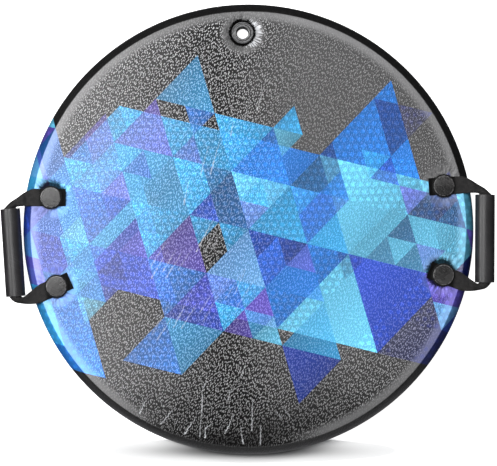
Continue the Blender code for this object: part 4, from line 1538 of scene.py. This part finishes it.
def make_strap(side):
    """One handle's webbing, from tail to tail."""
    rows = strap_rows()
    middles = [(inner + outer) / 2 for inner, outer, _ in rows]
    corner = TAB_STEPS + CORNER_STEPS
    last = len(rows) - 1
    points, weave, run = [], [], 0.0
    for index, (inner, outer, width) in enumerate(rows):
        along = middles[min(index + 1, last)] - middles[max(index - 1, 0)]
        if corner <= index <= last - corner:
            along = Vector((0, -1, 0))
        run += (middles[index] - middles[max(index - 1, 0)]).length
        for spot, p in enumerate(strap_section(inner, outer, along, width)):
            points.append((*on_disc(side, p.x, p.y), p.z + STRAP_TOP))
            column = spot if spot <= COLUMNS else RING_COUNT - 2 - spot
            weave.append((min(max(column, 0), COLUMNS) / COLUMNS * STRAP_WIDTH, run))
    faces = facing_out(side, strap_faces(last))
    strap = add_mesh(f"{side}_webbing", points, faces, WEBBING, sharp=60)
    layer = strap.data.uv_layers.new(name="weave")
    for loop in strap.data.loops:
        layer.data[loop.index].uv = weave[loop.vertex_index]
    print(strap.name, "runs", round(run * 1000), "mm")
    return strap


# %% Put the straps in place
FOLD_BAND = 0.003
FOLD_V = -0.004


def seat_strap(side):
    """Make a strap in place of the CAD strap loop and tabs, attached to no body. The ends of a 6 mm
    bend at the fold line are worked out but not used.
    """
    strap = make_strap(side)
    start, end = ((*on_disc(side, u, FOLD_V), STRAP_TOP) for u in (-FOLD_BAND, FOLD_BAND))
    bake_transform(strap)
    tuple(start)
    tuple(end)
    tabs = (f"{side}_upper_strap_tab", f"{side}_lower_strap_tab")
    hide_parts(f"{side}_strap_loop", *tabs)


for side in SIDES:
    seat_strap(side)


# %% [markdown]
# ## Grips
# A grip is a length of dark tube that the webbing runs through, free to turn on it. It is
# turned about its own axis, which lies along the handle. Its ends are cut square with a
# small round on the edge. Three more rings of points keep its long faces short.

# %% Grip tubes
GRIP_RINGS = (0.5, 0.25, 0.0, -0.25, -0.5)
GRIP_ROUND = 0.0008


def make_grip(side):
    """One grip tube on its strap."""
    outside = [(GRIP_RADIUS, share * GRIP_LENGTH) for share in GRIP_RINGS]
    line = [(GRIP_BORE, GRIP_LENGTH / 2), *outside, (GRIP_BORE, -GRIP_LENGTH / 2)]
    points, faces, rim = turned_mesh(rounded(line, GRIP_ROUND, closed=True), 96, closed=True)
    middle_v = (grip_end("upper") + grip_end("lower")) / 2
    axis_height = STRAP_TOP - GRIP_DROP
    laid = [(*on_disc(side, GRIP_U + x, middle_v + z), axis_height - y) for x, y, z in points]
    faces = facing_out(side, faces)
    grip = add_mesh(f"{side}_grip_tube", laid, faces, GRIP_PLASTIC, {"rim": rim})
    seat(grip, f"{side}_grip", f"{side}_grip_plastic", f"{side}_grip")


for side in SIDES:
    make_grip(side)

# %% [markdown]
# ## Camera, floor and light
# The sled was photographed from straight above, and lay turned a little. A long lens
# three metres up has the same weak perspective. The floor glows white to the camera and
# is dark to everything else, so that it doesn't light up the rim. Only in front it gives
# some light back. A glow would drown any real shadow, so the contact shadow in front is
# painted into the floor's tone, as a soft strip along the near rim, and the glow ends
# there.

# %% Camera
FRAME_WIDTH = 0.7290
CAMERA_HEIGHT = 3.3
CAMERA_Y = -0.0053
VIEW_TURN = math.radians(1.7)


def make_camera():
    """The camera, straight above the disc."""
    lens = bpy.data.cameras.new("top_camera")
    lens.sensor_width = 36.0
    lens.lens = lens.sensor_width * (CAMERA_HEIGHT - SEAM_HEIGHT) / FRAME_WIDTH
    lens.clip_end = 20.0
    camera = bpy.data.objects.new("top_camera", lens)
    camera.location = (0.0, CAMERA_Y, CAMERA_HEIGHT)
    camera.rotation_euler = (0.0, 0.0, -VIEW_TURN)
    bpy.context.scene.collection.objects.link(camera)
    bpy.context.scene.camera = camera


make_camera()

# %% Floor
WHITE = (1.0, 1.0, 1.0, 1.0)
FLOOR_REACH, FLOOR_LEVEL, FLOOR_LINES = 6, -0.0006, 49
SHADOW_SHIFT = (0.0035, 0.3255, 0.0)
SHADOW_SIZE = (0.085, 0.007)


def contact_shadow(spot):
    """A soft strip along the near rim: 1 in its middle, 0 far from it."""
    away = vector_calc("ADD", spin(spot, VIEW_TURN), SHADOW_SHIFT)
    away = vector_calc("MULTIPLY", away, (1.0 / SHADOW_SIZE[0], 1.0 / SHADOW_SIZE[1], 0.0))
    return calc("EXPONENT", times(dot(away, away), -0.5))


def floor_finish():
    """A plain pale floor that can be seen only from above."""
    material, shader = open_material("pale_floor")
    seen = add("LightPath").outputs["Is Camera Ray"]
    spot = place()
    front = remap(split(spot)["Y"], -0.30, -0.20, 1.0, 0.0)
    strip = contact_shadow(spot)
    shadow = calc("POWER", times_plus(strip, -0.7, 1.0), 2.2)
    white = times(shadow, remap(noise(spot, 3.0), 0.3, 0.7, 0.71, 0.73))
    tone = add("CombineColor", {0: white, 1: white, 2: white}).outputs[0]
    bounce = blend_colours(front, (0.03, 0.03, 0.032, 1.0), (0.3, 0.3, 0.31, 1.0))
    given = {
        "Base Color": blend_colours(seen, bounce, tone),
        "Emission Strength": times(seen, remap(strip, 0.005, 0.04, 0.95, 0.0)),
        "Emission Color": WHITE,
        "Roughness": 0.9,
        "Specular IOR Level": 0.0,
    }
    for title, value in given.items():
        join(value, shader.inputs[title])
    clear = add("BsdfTransparent").outputs[0]
    behind = add("NewGeometry").outputs["Backfacing"]
    both = add("MixShader", {0: behind, 1: shader.outputs[0], 2: clear}).outputs[0]
    join(both, material.node_tree.nodes["Material Output"].inputs["Surface"])
    return material


def make_floor():
    """The floor, a grid just under the base."""
    lines = np.linspace(-FLOOR_REACH, FLOOR_REACH, FLOOR_LINES)
    points = [(x, y, FLOOR_LEVEL) for y in lines for x in lines]
    cells = range(FLOOR_LINES - 1)
    starts = [row * FLOOR_LINES + column for row in cells for column in cells]
    corners = (0, 1, FLOOR_LINES + 1, FLOOR_LINES)
    faces = [tuple(start + corner for corner in corners) for start in starts]
    floor = add_mesh("floor", points, faces, floor_finish())
    floor.visible_shadow = False
    floor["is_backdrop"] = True


make_floor()

# %% [markdown]
# Two soft lamps above, a little to the left, give the left half its sheen and the grain
# its sparkle, and a stronger one further out on the left rakes across it. One beyond the
# far rim lights the slope there, a weak one in front lifts the near side, and one below
# shows the base when the sled is seen from under. The sky fills the rest.

# %% Lamps
LAMPS = (
    ("top_lamp", (-0.35, 0.9, 3.4), (1.2, 1.0), 7.0),
    ("haze_lamp", (-0.85, 0.5, 2.9), (1.2, 1.2), 11.0),
    ("far_lamp", (0.0, 1.55, 2.7), (1.5, 0.6), 10.0),
    ("left_lamp", (-2.2, 0.4, 1.7), (0.6, 0.6), 36.0),
    ("near_lamp", (0.3, -2.3, 0.9), (1.6, 0.5), 3.0),
    ("under_lamp", (0.0, 0.0, -2.0), (2.0, 2.0), 3.0),
)


def add_lamp(name, middle, size, radiance):
    """A soft rectangular lamp that faces the disc, with its brightness as radiance."""
    lamp = bpy.data.lights.new(name, "AREA")
    lamp.shape = "RECTANGLE"
    lamp.size, lamp.size_y = size
    lamp.energy = radiance * math.pi * size[0] * size[1]
    piece = bpy.data.objects.new(name, lamp)
    piece.location = middle
    piece.rotation_euler = (-Vector(middle)).to_track_quat("-Z", "Y").to_euler()
    bpy.context.scene.collection.objects.link(piece)
    print(name, "gives", round(lamp.energy, 1), "W")


for lamp in LAMPS:
    add_lamp(*lamp)


# %% Sky
def make_sky():
    """A white sky for the camera, and a weak grey one that lights from above."""
    world = bpy.data.worlds.new("studio_sky")
    world.use_nodes = True
    OPEN["tree"] = world.node_tree
    up = split(add("TexCoord").outputs["Generated"])["Z"]
    background = world.node_tree.nodes["Background"].inputs
    seen = add("LightPath").outputs["Is Camera Ray"]
    join(blend_colours(seen, (0.95, 0.97, 1.0, 1.0), WHITE), background["Color"])
    join(calc("MAXIMUM", seen, remap(up, 0.0, 0.7, 0.02, 0.35)), background["Strength"])
    bpy.context.scene.world = world


make_sky()
bpy.context.scene.view_settings.view_transform = "Standard"

# %% [markdown]
# ## Finish
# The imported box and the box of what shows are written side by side, so that the finer
# shapes can be checked against the solids' size.

# %% Check and finish
seen_box = [list(corner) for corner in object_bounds()]
for cad_corner, seen_corner in zip(cad_box, seen_box):
    print("box grew by", [round((b - a) * 1000, 2) for a, b in zip(cad_corner, seen_corner)], "mm")
